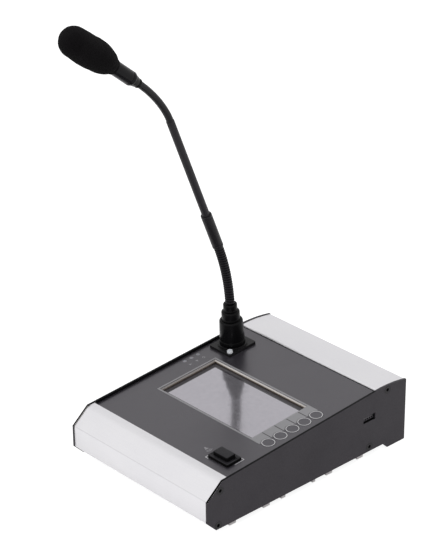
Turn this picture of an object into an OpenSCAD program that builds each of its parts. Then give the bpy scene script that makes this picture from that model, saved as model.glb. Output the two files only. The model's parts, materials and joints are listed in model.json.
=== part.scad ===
// Desk paging microphone: a sloped call station with a display, five soft keys and a talk
// button, and a plug-in microphone on a double gooseneck.
// Millimetres. X runs to the user's right, Y away from the user and Z up from the desk.
// Lengths along y are counted from the front face. Panel places are x across, s up the
// slope from the bend of the side plates, and h above the plane of the plates' top edges.

/* [Housing] */
// Width over the two side plates
base_w = 165; // [158:0.5:185]
// Depth from the front face to the rear edge
base_d = 226.6; // [220:0.1:245]
// Thickness of each side plate
side_t = 2; // [1.5:0.1:3]
// Gap between the desk and the bottom plate
ground_gap = 5.1; // [3.5:0.1:8]
// Height of the lower edge of the upright front face
front_low = 14.5; // [13:0.1:18]
// Height of the upper edge of the upright front face
front_high = 33.9; // [28:0.1:36]
// Setback of the lower chamfer along the bottom
chamfer_y = 9.25; // [7:0.05:11]
// Setback of the bend where the slanted front meets the top
bend_y = 16.2; // [14:0.1:20]
// Height of that bend
bend_z = 47.5; // [45:0.1:52]
// Slope of the top panel in degrees
slope = 4.1; // [2:0.05:6]
// Length of the rounded stretch at the rear
arc_len = 36.6; // [30:0.1:45]
// Radius over the rear of the side plates
rear_r = 140; // [110:1:180]
// Length of the rear foot of a side plate
foot_len = 21; // [15:0.5:25]
// Slant at the front of that foot
foot_slant = 5.3; // [2:0.1:8]

/* [Skins] */
// Wall of the front and rear profiles
skin_t = 2.2; // [1.6:0.1:3]
// How far the profiles sit inside the edge of the side plates
skin_inset = 0.4; // [0.2:0.1:0.8]
// Radius of the bend over the front profile
front_bend_r = 9; // [5:0.5:12]
// Gap between the control panel and the rear cover
cover_gap = 0.8; // [0.5:0.1:1.5]
// Length of the rear cover along y
cover_len = 34.4; // [32:0.1:42]
// Depth of the lip along the rear of the cover
cover_lip = 7; // [4:0.5:10]
// Where the front profile ends along the slope
front_lip_s = 6.5; // [5:0.1:10]
// Thickness of the bottom plate and the rear panel
sheet_t = 1.5; // [1:0.1:2]
// Setback of the rear panel under the cover
recess_d = 28.6; // [27:0.1:32]

/* [Control panel] */
// Depth of the overlay below the edges of the side plates
overlay_drop = 2.3; // [1.5:0.1:3]
// Thickness of the overlay foil
overlay_t = 0.5; // [0.3:0.05:0.8]
// Thickness of the face plate
face_t = 2; // [1.5:0.1:2.5]
// Width of the display window
window_w = 111.3; // [105:0.1:114]
// Length of the display window up the slope
window_l = 63.3; // [60:0.1:70]
// Front edge of the window along the slope
window_s = 59.3; // [52:0.1:62]
// Width of the label strip beside the window
strip_w = 10.7; // [9:0.1:12]
// Diameter of a soft key
key_d = 11.6; // [9:0.1:12]
// Spacing of the soft keys
key_pitch = 13.57; // [13.3:0.01:14.5]
// Distance from the key centres to the right edge of the panel
key_edge = 12.5; // [11:0.1:14]
// Travel of a soft key
key_travel = 0.5; // [0.3:0.05:0.7]
// Diameter of a status light
light_d = 3.6; // [2.5:0.1:4]
// Spacing of the status lights
light_pitch = 7.55; // [6:0.05:9]
// Distance from the status lights to the left edge of the panel
light_edge = 5.6; // [4.5:0.1:7]

/* [Talk button] */
// Distance from the button's centre to the right edge of the panel
talk_edge = 22.5; // [20:0.1:26]
// Place of the button's centre along the slope
talk_s = 25.1; // [22:0.1:28]
// Width of the button's frame
talk_frame_w = 23; // [21:0.1:26]
// Length of the button's frame
talk_frame_l = 15.7; // [14.5:0.1:18]
// Height of the frame above the overlay
talk_frame_h = 2.4; // [1.5:0.1:3]
// Width of the button cap
talk_cap_w = 16.2; // [13:0.1:16.6]
// Length of the button cap
talk_cap_l = 9.6; // [8:0.1:10]
// Height of the cap above the overlay
talk_cap_h = 6; // [5:0.1:8]
// Travel of the button
talk_travel = 2.5; // [1:0.1:2.8]

/* [Microphone socket] */
// Distance from the socket's centre to the left edge of the panel
socket_edge = 17.4; // [15:0.1:24]
// Distance from the socket's centre to the rear edge of the panel
socket_rear = 27.6; // [24:0.1:36]
// Width of the socket's flange
flange_w = 26; // [26:0.1:28]
// Length of the socket's flange
flange_l = 31; // [30:0.1:33]
// Thickness of the flange
flange_t = 2.3; // [1.8:0.1:3]
// Outer diameter of the collar round the plug
collar_d = 25.2; // [24.6:0.1:26]
// Height of the collar above the flange
collar_h = 1.5; // [1:0.1:2.5]
// Diameter of the socket's cavity
cavity_d = 16.4; // [16.3:0.05:17]
// Depth of the socket's body below the overlay
socket_depth = 22; // [20:0.5:23]

/* [Plug] */
// Diameter at the foot of the plug's barrel
barrel_d = 21.8; // [20:0.1:22]
// Diameter at the top of the barrel
barrel_top_d = 20.4; // [17:0.1:21]
// Height of the barrel's top above the overlay
barrel_h = 26.8; // [22:0.1:30]
// Diameter of the middle sleeve
boot_d = 16; // [13:0.1:17]
// Height of the middle sleeve's top above the overlay
boot_h = 35.4; // [32:0.1:38]
// Diameter of the top sleeve
ferrule_d = 12.2; // [10:0.1:12.5]
// Height of the top sleeve's end above the overlay
ferrule_h = 42.5; // [39:0.1:46]
// Diameter of the shell that enters the socket
plug_shell_d = 15.8; // [15:0.05:15.8]
// Diameter of a contact pin
pin_d = 2.4; // [2:0.05:2.4]

/* [Gooseneck] */
// Length of the lower, ribbed neck
low_len = 60; // [54:0.5:72]
// Diameter of the lower neck over its ribs
low_d = 8.3; // [7.8:0.1:9]
// Ribs in each flexing length
low_ribs = 4; // [3:1:5]
// Depth of the groove between two ribs
rib_depth = 0.55; // [0.3:0.05:0.6]
// Lean of the stem from upright, towards the user
stem_lean = 21.8; // [10:0.1:30]
// Diameter of the joining sleeve
sleeve_d = 9.5; // [8.6:0.1:10.5]
// Length of the joining sleeve
sleeve_len = 36; // [30:0.5:42]
// Diameter of the stem tube
stem_d = 6.8; // [6:0.1:7]
// Free length of the stem tube
stem_len = 102; // [80:1:120]
// Length of the upper, smooth neck
up_len = 52; // [48:0.5:66]
// Diameter of the upper neck
up_d = 6.1; // [5.2:0.1:6.4]
// Lean of the head from upright, towards the user
head_lean = 50.5; // [35:0.5:65]
// How evenly the upper neck bends: 1 is even, and less bends it more near the stem
up_bow = 0.7; // [0.6:0.05:1]

/* [Head] */
// Diameter of the ring behind the capsule housing
ring_d = 8; // [6.4:0.1:8.4]
// Length of that ring and its taper
ring_len = 9; // [6:0.1:10]
// Diameter of the capsule housing
housing_d = 12.1; // [10.6:0.1:12.5]
// Length of the housing in sight
housing_len = 23.5; // [18:0.1:28]
// Length of the housing inside the foam
housing_tail = 14; // [12:0.5:18]
// Diameter of the microphone capsule
capsule_d = 9.5; // [7:0.1:9.8]
// Length of the foam windscreen
foam_len = 60; // [58:0.5:74]
// Largest radius of the foam
foam_r = 13.2; // [11:0.1:14]
// Place of the largest radius along the foam
foam_belly = 30; // [28:0.5:34]

/* [Fit] */
// Gap between parts that move against each other
run_gap = 0.3; // [0.2:0.05:0.35]
// Gap between parts that are fitted together
fit_gap = 0.2; // [0.1:0.05:0.25]
// Radial gap of a tube in its seat
seat_gap = 0.03; // [0.02:0.01:0.05]

/* [Hidden] */
$fn = 64;
key_count = 5;
light_count = 3;
neck_joints = 6;
// Overlap of pieces that are joined, and excess of a cut
eps = 0.01;
cut = 1;

// Housing planes
inner_w = base_w - 2 * side_t;
panel_half = inner_w / 2;
floor_z = ground_gap + sheet_t;
arc_y = base_d - arc_len;
arc_z = bend_z + (arc_y - bend_y) * tan(slope);
arc_steps = 24;
arc_centre = [arc_y + rear_r * sin(slope), arc_z - rear_r * cos(slope)];
rear_panel_y = base_d - recess_d;
panel_s0 = front_lip_s + fit_gap;
cover_s = (base_d - cover_len - bend_y) / cos(slope);
panel_s1 = cover_s - cover_gap;
shelf_len = 9;
lip_len = 14.2;
front_crease_r = 2;
rib_low = 7.8;

// Levels of the panel's layers along h
overlay_h = -overlay_drop;
face_h = overlay_h - overlay_t;
under_h = face_h - face_t;

// Places on the panel
key_x = panel_half - key_edge;
strip_gap = 4;
window_x1 = key_x - strip_gap - strip_w;
window_x0 = window_x1 - window_w;
window_s1 = window_s + window_l;
key_mid_s = (window_s + window_s1) / 2;
talk_x = panel_half - talk_edge;
socket_x = -(panel_half - socket_edge);
socket_s = panel_s1 - socket_rear;
light_x = -(panel_half - light_edge);
light_rise = 19.5;

// Screws through the side plates: M4 countersunk, as [y, z]
screw_r = 2;
screw_head_r = 3.8;
screw_head_h = 1.8;
screw_len = 12;
screw_gap = 0.1;
boss_r = 3.2;
front_boss = [[13.8, bend_z - 8], [11.6, ground_gap + 3.4]];
cover_boss = [base_d - 22.6, arc_centre[1] + rear_r - 4.3];
bar_boss = [base_d - 42.9, ground_gap + 4.3];
side_screws = concat(front_boss, [cover_boss, bar_boss]);
bar_wall = 1;
rear_panel_over = 1;

// Small pan-head screws under the bottom plate and in the rear panel
pan_r = 1.5;
pan_head_r = 2.7;
pan_head_h = 1.6;
bottom_screw_in = 14;
bottom_screw_front = 10.5;
bottom_screw_rear = 5;
rear_screw_in = 30;
rear_screw_over = 0.2;

// Slot in the right side plate and the header behind it
slot_w = 14.2;
slot_h = 5.7;
slot_y = base_d - 44;
slot_z = 37.15;
header_rows = 2;
header_columns = 5;
header_pitch = 2.54;
header_size = [8.5, 13.4, 5.5];
header_recess = 0.3;
header_hole = 1;
header_hole_d = 4;

// Boards
board_t = 1.6;
board_top = slot_z - header_size[2] / 2;
board_clear = 20;
board_edge = 4;
board_x0 = socket_x + board_clear;
board_x1 = panel_half - board_edge;
board_y0 = 62;
board_y1 = rear_panel_y - board_edge;
chip = [14, 14, 2];
chip_first = [20, 40];
chip_pitch = 26;
spacer_d = 6;
spacer_in = 6;
spacer_rear = 24;

// Rear sockets: width, depth along y and height
jack_size = [16, 15.8, 13.6];
jack_mouth = [11.8, 12, 8.2];
jack_x = 20;
power_size = [9, 14, 11];
power_x = 45;
power_r = 3.2;
power_depth = 9.5;
power_pin_r = 1;
socket_proud = 0.5;

// Rubber pads under each long side, as [middle along y, length]
pad_rows = [
    [30.1, 7.2], [67.5, 7.2], [86.5, 4.7],
    [base_d - 105.2, 3.4], [base_d - 87.2, 7.2], [base_d - 50.7, 7.2]];
pad_w = 7;
pad_edge = 3.1;

// Soft key stack below the face plate
key_rise = 0.2;
key_flange_t = 1.1;
key_flange_d = min(key_d + 1.4, key_pitch - 0.5);
key_stem_d = 3.4;
key_engage = 1;
key_drop = key_travel + 2 * run_gap;
key_flange_h = under_h - run_gap;
switch_size = [6.2, 6.2, 3.4];
switch_top = key_flange_h - key_flange_t - key_drop;
key_board_h = switch_top - switch_size[2];
key_board_w = 17;
key_board_end = 14;
key_board_l = (key_count - 1) * key_pitch + 2 * key_board_end;
key_post_d = 5;
key_post_in = 4;

// Display stack below the face plate
bezel_edge = 4;
bezel_lip = 0.8;
bezel_t = 0.8;
bezel_wall = 1;
bezel_d = 6;
glass_t = 1.8;
glass_h = under_h - bezel_t - fit_gap;

// Talk button stack, with a return spring between the button's flange and the switch
spring_r = 3.1;
spring_wire = 0.6;
spring_turns = 5;
spring_sides = 8;
spring_steps = 16;
spring_gap = 0.05;
talk_round = 1;
talk_body_wall = 1;
talk_flange = 0.8;
talk_flange_t = 1.5;
talk_lip_t = 1;
talk_flange_h = overlay_h - talk_lip_t - run_gap;
talk_under_h = talk_flange_h - talk_flange_t;
talk_floor = talk_under_h - talk_travel - (spring_turns + 2.8) * spring_wire;
talk_stem_d = 3;
talk_engage = 1;
talk_switch_size = [14, 9, 5];
talk_switch_t = 1;
talk_grow = 2 * (talk_flange + 2 * run_gap + talk_body_wall);
talk_body = [talk_cap_w + talk_grow, talk_cap_l + talk_grow];

// Status lights
light_d_low = light_d + 1.6;
light_low = 4;

// Socket and plug
socket_body_d = 23.6;
insert_d = 11.6;
insert_drop = 1;
socket_floor = 2;
contact_r = 1.65;
contact_gap = 0.05;
contact_tail = 3;
contact_wall = 0.3;
contact_ring = 3.7;
contact_angles = [40, 140, 270];
flange_round = 1.2;
socket_screw_head = 1.9;
socket_screws_at = [[9.5, -12], [-9.5, 12]];
plug_enter = 13;
plug_wall = 1.6;
plug_insert_t = 7;
pin_short = 1.5;
pin_tail = 8;
barrel_band = 5;
barrel_lip = 2;
barrel_deck = 6;
boot_bore = 3;
barrel_round = 1.6;
sleeve_round = 1.2;

// Necks: a chain of short lengths, each with a ball that sits in the next one's cup
low_seg = low_len / neck_joints;
up_seg = up_len / neck_joints;
ball_gap = 0.25;
low_cup = 3.1;
up_cup = 2.05;
neck_bend = 15;
rim_gap = 0.06;
low_rim = rim_room(low_d, lean_at(1, slope, stem_lean) - slope);
up_rim = rim_room(up_d, lean_at(1, stem_lean, head_lean, up_bow) - stem_lean);
low_bore = 1.3;
up_bore = 0.8;
plug_top = overlay_h + ferrule_h;
low_start = [socket_x, panel_y(socket_s, plug_top), panel_z(socket_s, plug_top)];
stem_start = neck_end(low_start, low_seg, slope, stem_lean);
stem_run = sleeve_len + stem_len;
up_start = stem_start + stem_run * heading(stem_lean);
head_start = neck_end(up_start, up_seg, stem_lean, head_lean, up_bow);
sleeve_seat = 15;
sleeve_edge = 0.5;
stem_wall = 0.9;
capsule_drop = 2;
capsule_short = 0.5;
foam_edge = 0.8;
foam_steps = 30;
foam_draw_reach = 1.087;
foam_draw = 2.34;
foam_blunt = 4.7;

// Distance from the front face back to the origin, under the middle of the whole outline
foam_start = head_start + (ring_len + housing_len) * heading(head_lean);
foam_front = min([
    for (t = [0 : foam_len]) foam_start[1] - t * sin(head_lean) - foam_radius(t) * cos(head_lean)]);
front_to_origin = (base_d + min(0, foam_front)) / 2;

function panel_y(s, h) = bend_y + s * cos(slope) - h * sin(slope);
function panel_z(s, h) = bend_z + s * sin(slope) + h * cos(slope);
function panel_point(s, h) = [panel_y(s, h), panel_z(s, h)];
function heading(lean) = [0, -sin(lean), cos(lean)];
function lean_at(k, lean0, lean1, bow = 1) = lean0 + pow(k / neck_joints, bow) * (lean1 - lean0);

// Half the gap between two neck lengths, so that a joint bent at rest can still bend all its way
function rim_room(d, rest_bend) = d / 2 * tan((neck_bend + rest_bend) / 2) + rim_gap;

// Centre of joint k of a neck that starts at p
function neck_joint(p, seg, lean0, lean1, k, bow = 1) =
    k == 0
        ? p + seg / 2 * heading(lean0)
        : neck_joint(p, seg, lean0, lean1, k - 1, bow) + seg * heading(lean_at(k, lean0, lean1, bow));
function neck_end(p, seg, lean0, lean1, bow = 1) =
    neck_joint(p, seg, lean0, lean1, neck_joints - 1, bow) + seg / 2 * heading(lean1);

function unit(v) = v / norm(v);
function right_of(v) = [v[1], -v[0]];

// A path moved to its right-hand side by t, with mitred corners
function inset(path, t) = [
    for (i = [0 : len(path) - 1])
        let (
            last = len(path) - 1,
            a = right_of(unit(i > 0 ? path[i] - path[i - 1] : path[1] - path[0])),
            b = right_of(unit(i < last ? path[i + 1] - path[i] : path[last] - path[last - 1]))
        )
        path[i] + t * (a + b) / (1 + a * b)];

// Points of the arc that rounds corner b between a and c
function arc_corner(a, b, c, r, steps) =
    let (
        u = unit(a - b),
        v = unit(c - b),
        half = acos(u * v) / 2,
        centre = b + unit(u + v) * r / sin(half),
        start = b + u * r / tan(half) - centre,
        sweep = (180 - 2 * half) * sign(u[1] * v[0] - u[0] * v[1]),
        turn = atan2(start[1], start[0])
    )
    [for (k = [0 : steps]) centre + r * [cos(turn + sweep * k / steps), sin(turn + sweep * k / steps)]];

function reversed(list) = [for (i = [len(list) - 1 : -1 : 0]) list[i]];

// Radius of the foam at t along its length: full in the middle, drawn in behind, blunt ahead
function foam_radius(t) =
    t < foam_belly
        ? max(
            housing_d / 2 + foam_edge,
            foam_r * swell((foam_belly - t) / (foam_belly * foam_draw_reach), foam_draw))
        : foam_r * swell((t - foam_belly) / (foam_len - foam_belly), foam_blunt);
function swell(u, power) = sqrt(max(0, 1 - pow(u, power)));

// Places of the panel's repeated pieces along s
function key_s(i) = key_mid_s + (i - (key_count + 1) / 2) * key_pitch;
function light_s(i) = key_mid_s + light_rise + (i - (light_count + 1) / 2) * light_pitch;

// Middle of each screw through the bottom plate, into the front lip and the crossbar
function bottom_screw_places() = [
    for (x = [-1, 1], y = [chamfer_y + bottom_screw_front, rear_panel_y - bottom_screw_rear])
        [x * (panel_half - bottom_screw_in), y]];

// Middle of each screw in the rear panel as [x, z], into the crossbar and the cover's rib
function rear_screw_places() = [
    for (x = [-1, 1], z = [bar_boss[1] + rear_screw_over, cover_boss[1] - rib_low + boss_r])
        [x * (panel_half - rear_screw_in), z]];

// Moves from the front face to the part's origin
module from_front() {
    translate([0, -front_to_origin, 0]) children();
}

// Stands children on the panel at x, s and h
module on_panel(x = 0, s = 0, h = 0) {
    from_front() translate([0, bend_y, bend_z]) rotate([slope, 0, 0]) translate([x, s, h]) children();
}

// A block between two corners
module block(a, b) {
    translate(a) cube(b - a);
}

// Extrudes a drawing of [y, z] along x, centred on the part
module along_x(length) {
    from_front() translate([-length / 2, 0, 0]) rotate([90, 0, 90]) linear_extrude(length) children();
}

// A rectangle in the drawing of [y, z], laid along the panel's slope
module slope_bar(s0, s1, h0, h1) {
    translate([bend_y, bend_z]) rotate(slope) translate([s0, h0]) square([s1 - s0, h1 - h0]);
}

// A flat rectangle with round corners, centred
module round_plate(w, l, r) {
    square([w - 2 * r, l], center = true);
    square([w, l - 2 * r], center = true);
    for (x = [-1, 1], y = [-1, 1]) translate([x * (w / 2 - r), y * (l / 2 - r)]) circle(r);
}

// Turns z towards +X and stands at a side screw
module at_side_screw(p) {
    from_front() translate([base_w / 2, p[0], p[1]]) rotate([0, 90, 0]) children();
}

module side_outline() {
    over_rear = [
        for (k = [0 : arc_steps])
            let (y = arc_y + arc_len * k / arc_steps)
            [y, arc_centre[1] + sqrt(rear_r * rear_r - pow(y - arc_centre[0], 2))]];
    polygon(concat(
        [[chamfer_y, ground_gap], [0, front_low], [0, front_high], [bend_y, bend_z]],
        over_rear,
        [[base_d, 0], [base_d - foot_len, 0], [base_d - foot_len - foot_slant, ground_gap]]));
}

module plain_side_plate() {
    difference() {
        translate([panel_half + side_t / 2, 0, 0]) along_x(side_t) side_outline();
        for (p = side_screws) at_side_screw(p) {
            translate([0, 0, -screw_head_h])
                cylinder(h = screw_head_h + eps, r1 = screw_r + screw_gap, r2 = screw_head_r + screw_gap);
            translate([0, 0, -side_t - cut]) cylinder(h = side_t + cut, r = screw_r + screw_gap);
        }
    }
}

module left_side_plate() {
    color([0.26, 0.25, 0.27]) mirror([1, 0, 0]) plain_side_plate();
}

module right_side_plate() {
    color([0.26, 0.25, 0.27]) difference() {
        plain_side_plate();
        from_front() block(
            [panel_half - cut, slot_y - slot_w / 2, slot_z - slot_h / 2],
            [base_w / 2 + cut, slot_y + slot_w / 2, slot_z + slot_h / 2]);
    }
}

module front_panel() {
    edge = inset([
        [chamfer_y, ground_gap], [0, front_low], [0, front_high], [bend_y, bend_z],
        [panel_y(front_lip_s, 0), panel_z(front_lip_s, 0)]], skin_inset);
    inner = inset(edge, skin_t);
    web_h = under_h - skin_t;
    shelf = [
        panel_point(front_lip_s, under_h), panel_point(front_lip_s + shelf_len, under_h),
        panel_point(front_lip_s + shelf_len, web_h), panel_point(front_lip_s - skin_t, web_h),
        panel_point(front_lip_s - skin_t, -skin_inset - skin_t)];
    section = concat(
        [edge[0], edge[1]],
        arc_corner(edge[1], edge[2], edge[3], front_crease_r, 6),
        arc_corner(edge[2], edge[3], edge[4], front_bend_r, 16),
        [edge[4]], shelf, [inner[3], inner[2], inner[1], inner[0]]);
    color([0.9, 0.9, 0.91]) difference() {
        along_x(inner_w) difference() {
            union() {
                polygon(reversed(section));
                translate([chamfer_y - skin_inset, floor_z]) square([lip_len, skin_t]);
                for (p = front_boss) translate(p) circle(boss_r);
            }
            for (p = front_boss) translate(p) circle(screw_r);
        }
        bottom_screw_holes(pan_r + seat_gap);
    }
}

module rear_cover() {
    outer_r = rear_r - skin_inset;
    back_y = base_d - skin_inset;
    web_h = under_h - skin_t;
    lip_top = arc_centre[1] + sqrt(outer_r * outer_r - pow(back_y - arc_centre[0], 2));
    front_y = panel_y(cover_s, -skin_inset);
    rib_y = rear_panel_y - skin_t;
    color([0.86, 0.85, 0.86]) difference() {
        along_x(inner_w) difference() {
            union() {
                intersection() {
                    difference() {
                        translate(arc_centre) circle(outer_r, $fn = 720);
                        translate(arc_centre) circle(outer_r - skin_t, $fn = 720);
                    }
                    translate([front_y, 0]) square([back_y - front_y, 2 * arc_z]);
                }
                slope_bar(cover_s, cover_s + skin_t, web_h, -skin_inset - skin_t / 2);
                slope_bar(cover_s - shelf_len, cover_s + skin_t, web_h, under_h);
                translate([back_y - skin_t, lip_top - cover_lip])
                    square([skin_t, cover_lip - skin_t / 2]);
                translate([rib_y, cover_boss[1] - rib_low]) square([skin_t, rib_low + skin_t]);
                translate(cover_boss) circle(boss_r);
            }
            translate(cover_boss) circle(screw_r);
        }
        rear_screw_holes(pan_r + seat_gap);
    }
}

// Round holes along the screws of the bottom plate
module bottom_screw_holes(r) {
    from_front() for (p = bottom_screw_places())
        translate([p[0], p[1], ground_gap - cut]) cylinder(h = 2 * cut + sheet_t + skin_t, r = r);
}

// Round holes along the screws of the rear panel
module rear_screw_holes(r) {
    from_front() for (p = rear_screw_places())
        translate([p[0], rear_panel_y + sheet_t + cut, p[1]]) rotate([90, 0, 0])
            cylinder(h = 2 * cut + sheet_t + 2 * skin_t, r = r);
}

module rear_panel() {
    top_z = cover_boss[1] + rear_panel_over;
    color([0.2, 0.2, 0.21]) difference() {
        from_front()
            block([-panel_half, rear_panel_y, floor_z], [panel_half, rear_panel_y + sheet_t, top_z]);
        rear_window(jack_x, jack_size);
        rear_window(power_x, power_size);
        rear_screw_holes(pan_r + screw_gap);
    }
}

// Cut-out in the rear panel round a socket on the board
module rear_window(x, size) {
    w = size[0] + 2 * fit_gap;
    from_front() translate([x - w / 2, rear_panel_y - cut, board_top - fit_gap])
        cube([w, sheet_t + 2 * cut, size[2] + 2 * fit_gap]);
}

module rear_crossbar() {
    front_y = bar_boss[0] - boss_r - bar_wall;
    color("silver") difference() {
        along_x(inner_w) difference() {
            translate([front_y, floor_z])
                square([rear_panel_y - front_y, bar_boss[1] - floor_z + boss_r]);
            translate(bar_boss) circle(screw_r);
        }
        bottom_screw_holes(pan_r + seat_gap);
        rear_screw_holes(pan_r + seat_gap);
    }
}

module bottom_plate() {
    color([0.2, 0.2, 0.21]) difference() {
        from_front() block(
            [-panel_half, front_boss[1][0] + boss_r + 2 * fit_gap, ground_gap],
            [panel_half, rear_panel_y + sheet_t, floor_z]);
        bottom_screw_holes(pan_r + screw_gap);
    }
}

module face_plate() {
    color([0.45, 0.45, 0.47]) panel_sheet(under_h, face_h);
}

module overlay() {
    color([0.38, 0.37, 0.39]) panel_sheet(face_h, overlay_h);
}

// One layer of the control panel between two levels, with every cut-out
module panel_sheet(h0, h1) {
    on_panel(0, 0, h0) difference() {
        block([-panel_half, panel_s0, 0], [panel_half, panel_s1, h1 - h0]);
        translate([0, 0, -cut]) linear_extrude(h1 - h0 + 2 * cut) {
            translate([window_x0, window_s]) square([window_w, window_l]);
            for (i = [1 : key_count]) translate([key_x, key_s(i)]) circle(d = key_d + 2 * run_gap);
            for (i = [1 : light_count]) translate([light_x, light_s(i)]) circle(d = light_d + 2 * seat_gap);
            translate([talk_x, talk_s]) square(talk_body + 2 * [fit_gap, fit_gap], center = true);
            translate([socket_x, socket_s]) {
                circle(d = socket_body_d + 2 * fit_gap);
                for (p = socket_screws_at) translate(p) circle(pan_r + screw_gap);
            }
        }
    }
}

module lcd_bezel() {
    low = under_h - bezel_d;
    color([0.62, 0.55, 0.46]) difference() {
        window_slab(bezel_edge, low, under_h);
        window_slab(bezel_edge - bezel_wall, low - cut, under_h - bezel_t);
        window_slab(-bezel_lip, low - cut, under_h + cut);
    }
}

// A slab between two levels that is larger than the window by grow on each side
module window_slab(grow, h0, h1) {
    on_panel() block(
        [window_x0 - grow, window_s - grow, h0],
        [window_x1 + grow, window_s1 + grow, h1]);
}

module lcd_panel() {
    color([0.66, 0.65, 0.67]) window_slab(bezel_edge - bezel_wall - fit_gap, glass_h - glass_t, glass_h);
}

module lcd_backlight() {
    color("white") window_slab(bezel_edge - bezel_wall - fit_gap, under_h - bezel_d, glass_h - glass_t);
}

module main_board() {
    color([0.1, 0.35, 0.2]) from_front() {
        block([board_x0, board_y0, board_top - board_t], [board_x1, board_y1, board_top]);
        for (i = [0 : 2]) translate([
            board_x0 + chip_first[0] + i * chip_pitch, board_y0 + chip_first[1], board_top - eps])
            cube(chip);
    }
}

module board_spacers() {
    color("silver") {
        from_front() for (
            x = [board_x0 + spacer_in, board_x1 - spacer_in],
            y = [board_y0 + spacer_in, board_y1 - spacer_rear])
            translate([x, y, floor_z]) cylinder(h = board_top - board_t - floor_z, d = spacer_d);
        for (side = [-1, 1]) on_panel(key_x, key_mid_s + side * (key_board_l / 2 - key_post_in), key_board_h)
            cylinder(h = under_h - key_board_h, d = key_post_d);
    }
}

module key_board() {
    color([0.1, 0.35, 0.2]) on_panel(key_x, key_mid_s, key_board_h - board_t)
        translate([-key_board_w / 2, -key_board_l / 2, 0]) cube([key_board_w, key_board_l, board_t]);
}

module key_switches() {
    bore_d = key_engage + key_travel + fit_gap;
    color([0.15, 0.15, 0.16]) for (i = [1 : key_count]) on_panel(key_x, key_s(i), key_board_h) difference() {
        translate([-switch_size[0] / 2, -switch_size[1] / 2, 0]) cube(switch_size);
        translate([0, 0, switch_size[2] - bore_d]) cylinder(h = bore_d + cut, d = key_stem_d + 2 * run_gap);
    }
}

module soft_key(i) {
    stem = key_drop + key_engage;
    color([0.34, 0.33, 0.36]) on_panel(key_x, key_s(i), key_flange_h) {
        translate([0, 0, -eps]) cylinder(h = overlay_h + key_rise - key_flange_h + eps, d = key_d);
        translate([0, 0, -key_flange_t]) cylinder(h = key_flange_t, d = key_flange_d);
        translate([0, 0, -key_flange_t - stem]) cylinder(h = stem + eps, d = key_stem_d);
    }
}

module talk_frame() {
    cap = [talk_cap_w, talk_cap_l];
    wall = [talk_body_wall, talk_body_wall];
    color([0.13, 0.13, 0.14]) on_panel(talk_x, talk_s) difference() {
        union() {
            talk_layer(overlay_h, overlay_h + talk_frame_h)
                round_plate(talk_frame_w, talk_frame_l, talk_round);
            talk_layer(talk_floor, overlay_h + eps) square(talk_body, center = true);
        }
        talk_layer(talk_floor - cut, overlay_h + talk_frame_h + cut)
            square(cap + 2 * [run_gap, run_gap], center = true);
        talk_layer(talk_floor - cut, overlay_h - talk_lip_t) square(talk_body - 2 * wall, center = true);
    }
}

// Extrudes a drawing between two levels
module talk_layer(h0, h1) {
    translate([0, 0, h0]) linear_extrude(h1 - h0) children();
}

module talk_button() {
    flange = [talk_cap_w, talk_cap_l] + 2 * [talk_flange, talk_flange];
    stem_low = talk_floor - talk_engage;
    color([0.16, 0.16, 0.18]) on_panel(talk_x, talk_s) {
        talk_layer(talk_flange_h - eps, overlay_h + talk_cap_h)
            round_plate(talk_cap_w, talk_cap_l, talk_round);
        talk_layer(talk_under_h, talk_flange_h) square(flange, center = true);
        talk_layer(stem_low, talk_under_h + eps) circle(d = talk_stem_d);
    }
}

// A helical wire: rings of points swept along the turns and closed at both ends
module talk_spring() {
    low = talk_floor + spring_wire / 2 + spring_gap;
    high = talk_under_h - spring_wire / 2 - spring_gap;
    rings = spring_turns * spring_steps;
    points = [
        for (i = [0 : rings], k = [0 : spring_sides - 1])
            let (
                turn = 360 * i / spring_steps,
                around = 360 * k / spring_sides,
                r = spring_r + spring_wire / 2 * cos(around),
                rise = low + (high - low) * i / rings
            )
            [r * cos(turn), r * sin(turn), rise + spring_wire / 2 * sin(around)]];
    sides = [
        for (i = [0 : rings - 1], k = [0 : spring_sides - 1])
            let (a = i * spring_sides + k, b = i * spring_sides + (k + 1) % spring_sides)
            each [[a, b, b + spring_sides], [a, b + spring_sides, a + spring_sides]]];
    caps = [
        for (k = [1 : spring_sides - 2])
            each [[0, k + 1, k], rings * spring_sides * [1, 1, 1] + [0, k, k + 1]]];
    color("silver") on_panel(talk_x, talk_s) polyhedron(points, concat(sides, caps));
}

module talk_switch() {
    size = talk_switch_size;
    bore_low = talk_floor - talk_engage - talk_travel - run_gap;
    color([0.2, 0.2, 0.22]) on_panel(talk_x, talk_s) difference() {
        union() {
            talk_layer(talk_floor - size[2], talk_floor) square([size[0], size[1]], center = true);
            talk_layer(talk_floor - talk_switch_t, talk_floor) square(talk_body, center = true);
        }
        talk_layer(bore_low, talk_floor + cut) circle(d = talk_stem_d + 2 * run_gap);
    }
}

module status_lights() {
    color([0.55, 0.55, 0.57]) for (i = [1 : light_count]) on_panel(light_x, light_s(i), under_h - light_low) {
        cylinder(h = overlay_h - under_h + light_low, d = light_d);
        cylinder(h = light_low, d = light_d_low);
    }
}

module socket_shell() {
    color([0.12, 0.12, 0.13]) in_socket() difference() {
        union() {
            linear_extrude(flange_t) round_plate(flange_w, flange_l, flange_round);
            translate([0, 0, flange_t - eps]) cylinder(h = collar_h + eps, d = collar_d);
            translate([0, 0, -socket_depth]) cylinder(h = socket_depth + eps, d = socket_body_d);
        }
        translate([0, 0, flange_t]) cylinder(h = collar_h + cut, d = barrel_d + 2 * run_gap);
        translate([0, 0, socket_floor - socket_depth]) cylinder(h = socket_depth + flange_t, d = cavity_d);
        for (p = socket_screws_at) translate([p[0], p[1], -cut])
            cylinder(h = flange_t + 2 * cut, r = pan_r + screw_gap);
        round_contacts() translate([0, 0, -socket_depth - cut])
            cylinder(h = socket_floor + 2 * cut, r = contact_r + contact_gap);
    }
}

// Stands children on the overlay at the socket's centre
module in_socket() {
    on_panel(socket_x, socket_s, overlay_h) children();
}

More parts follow.
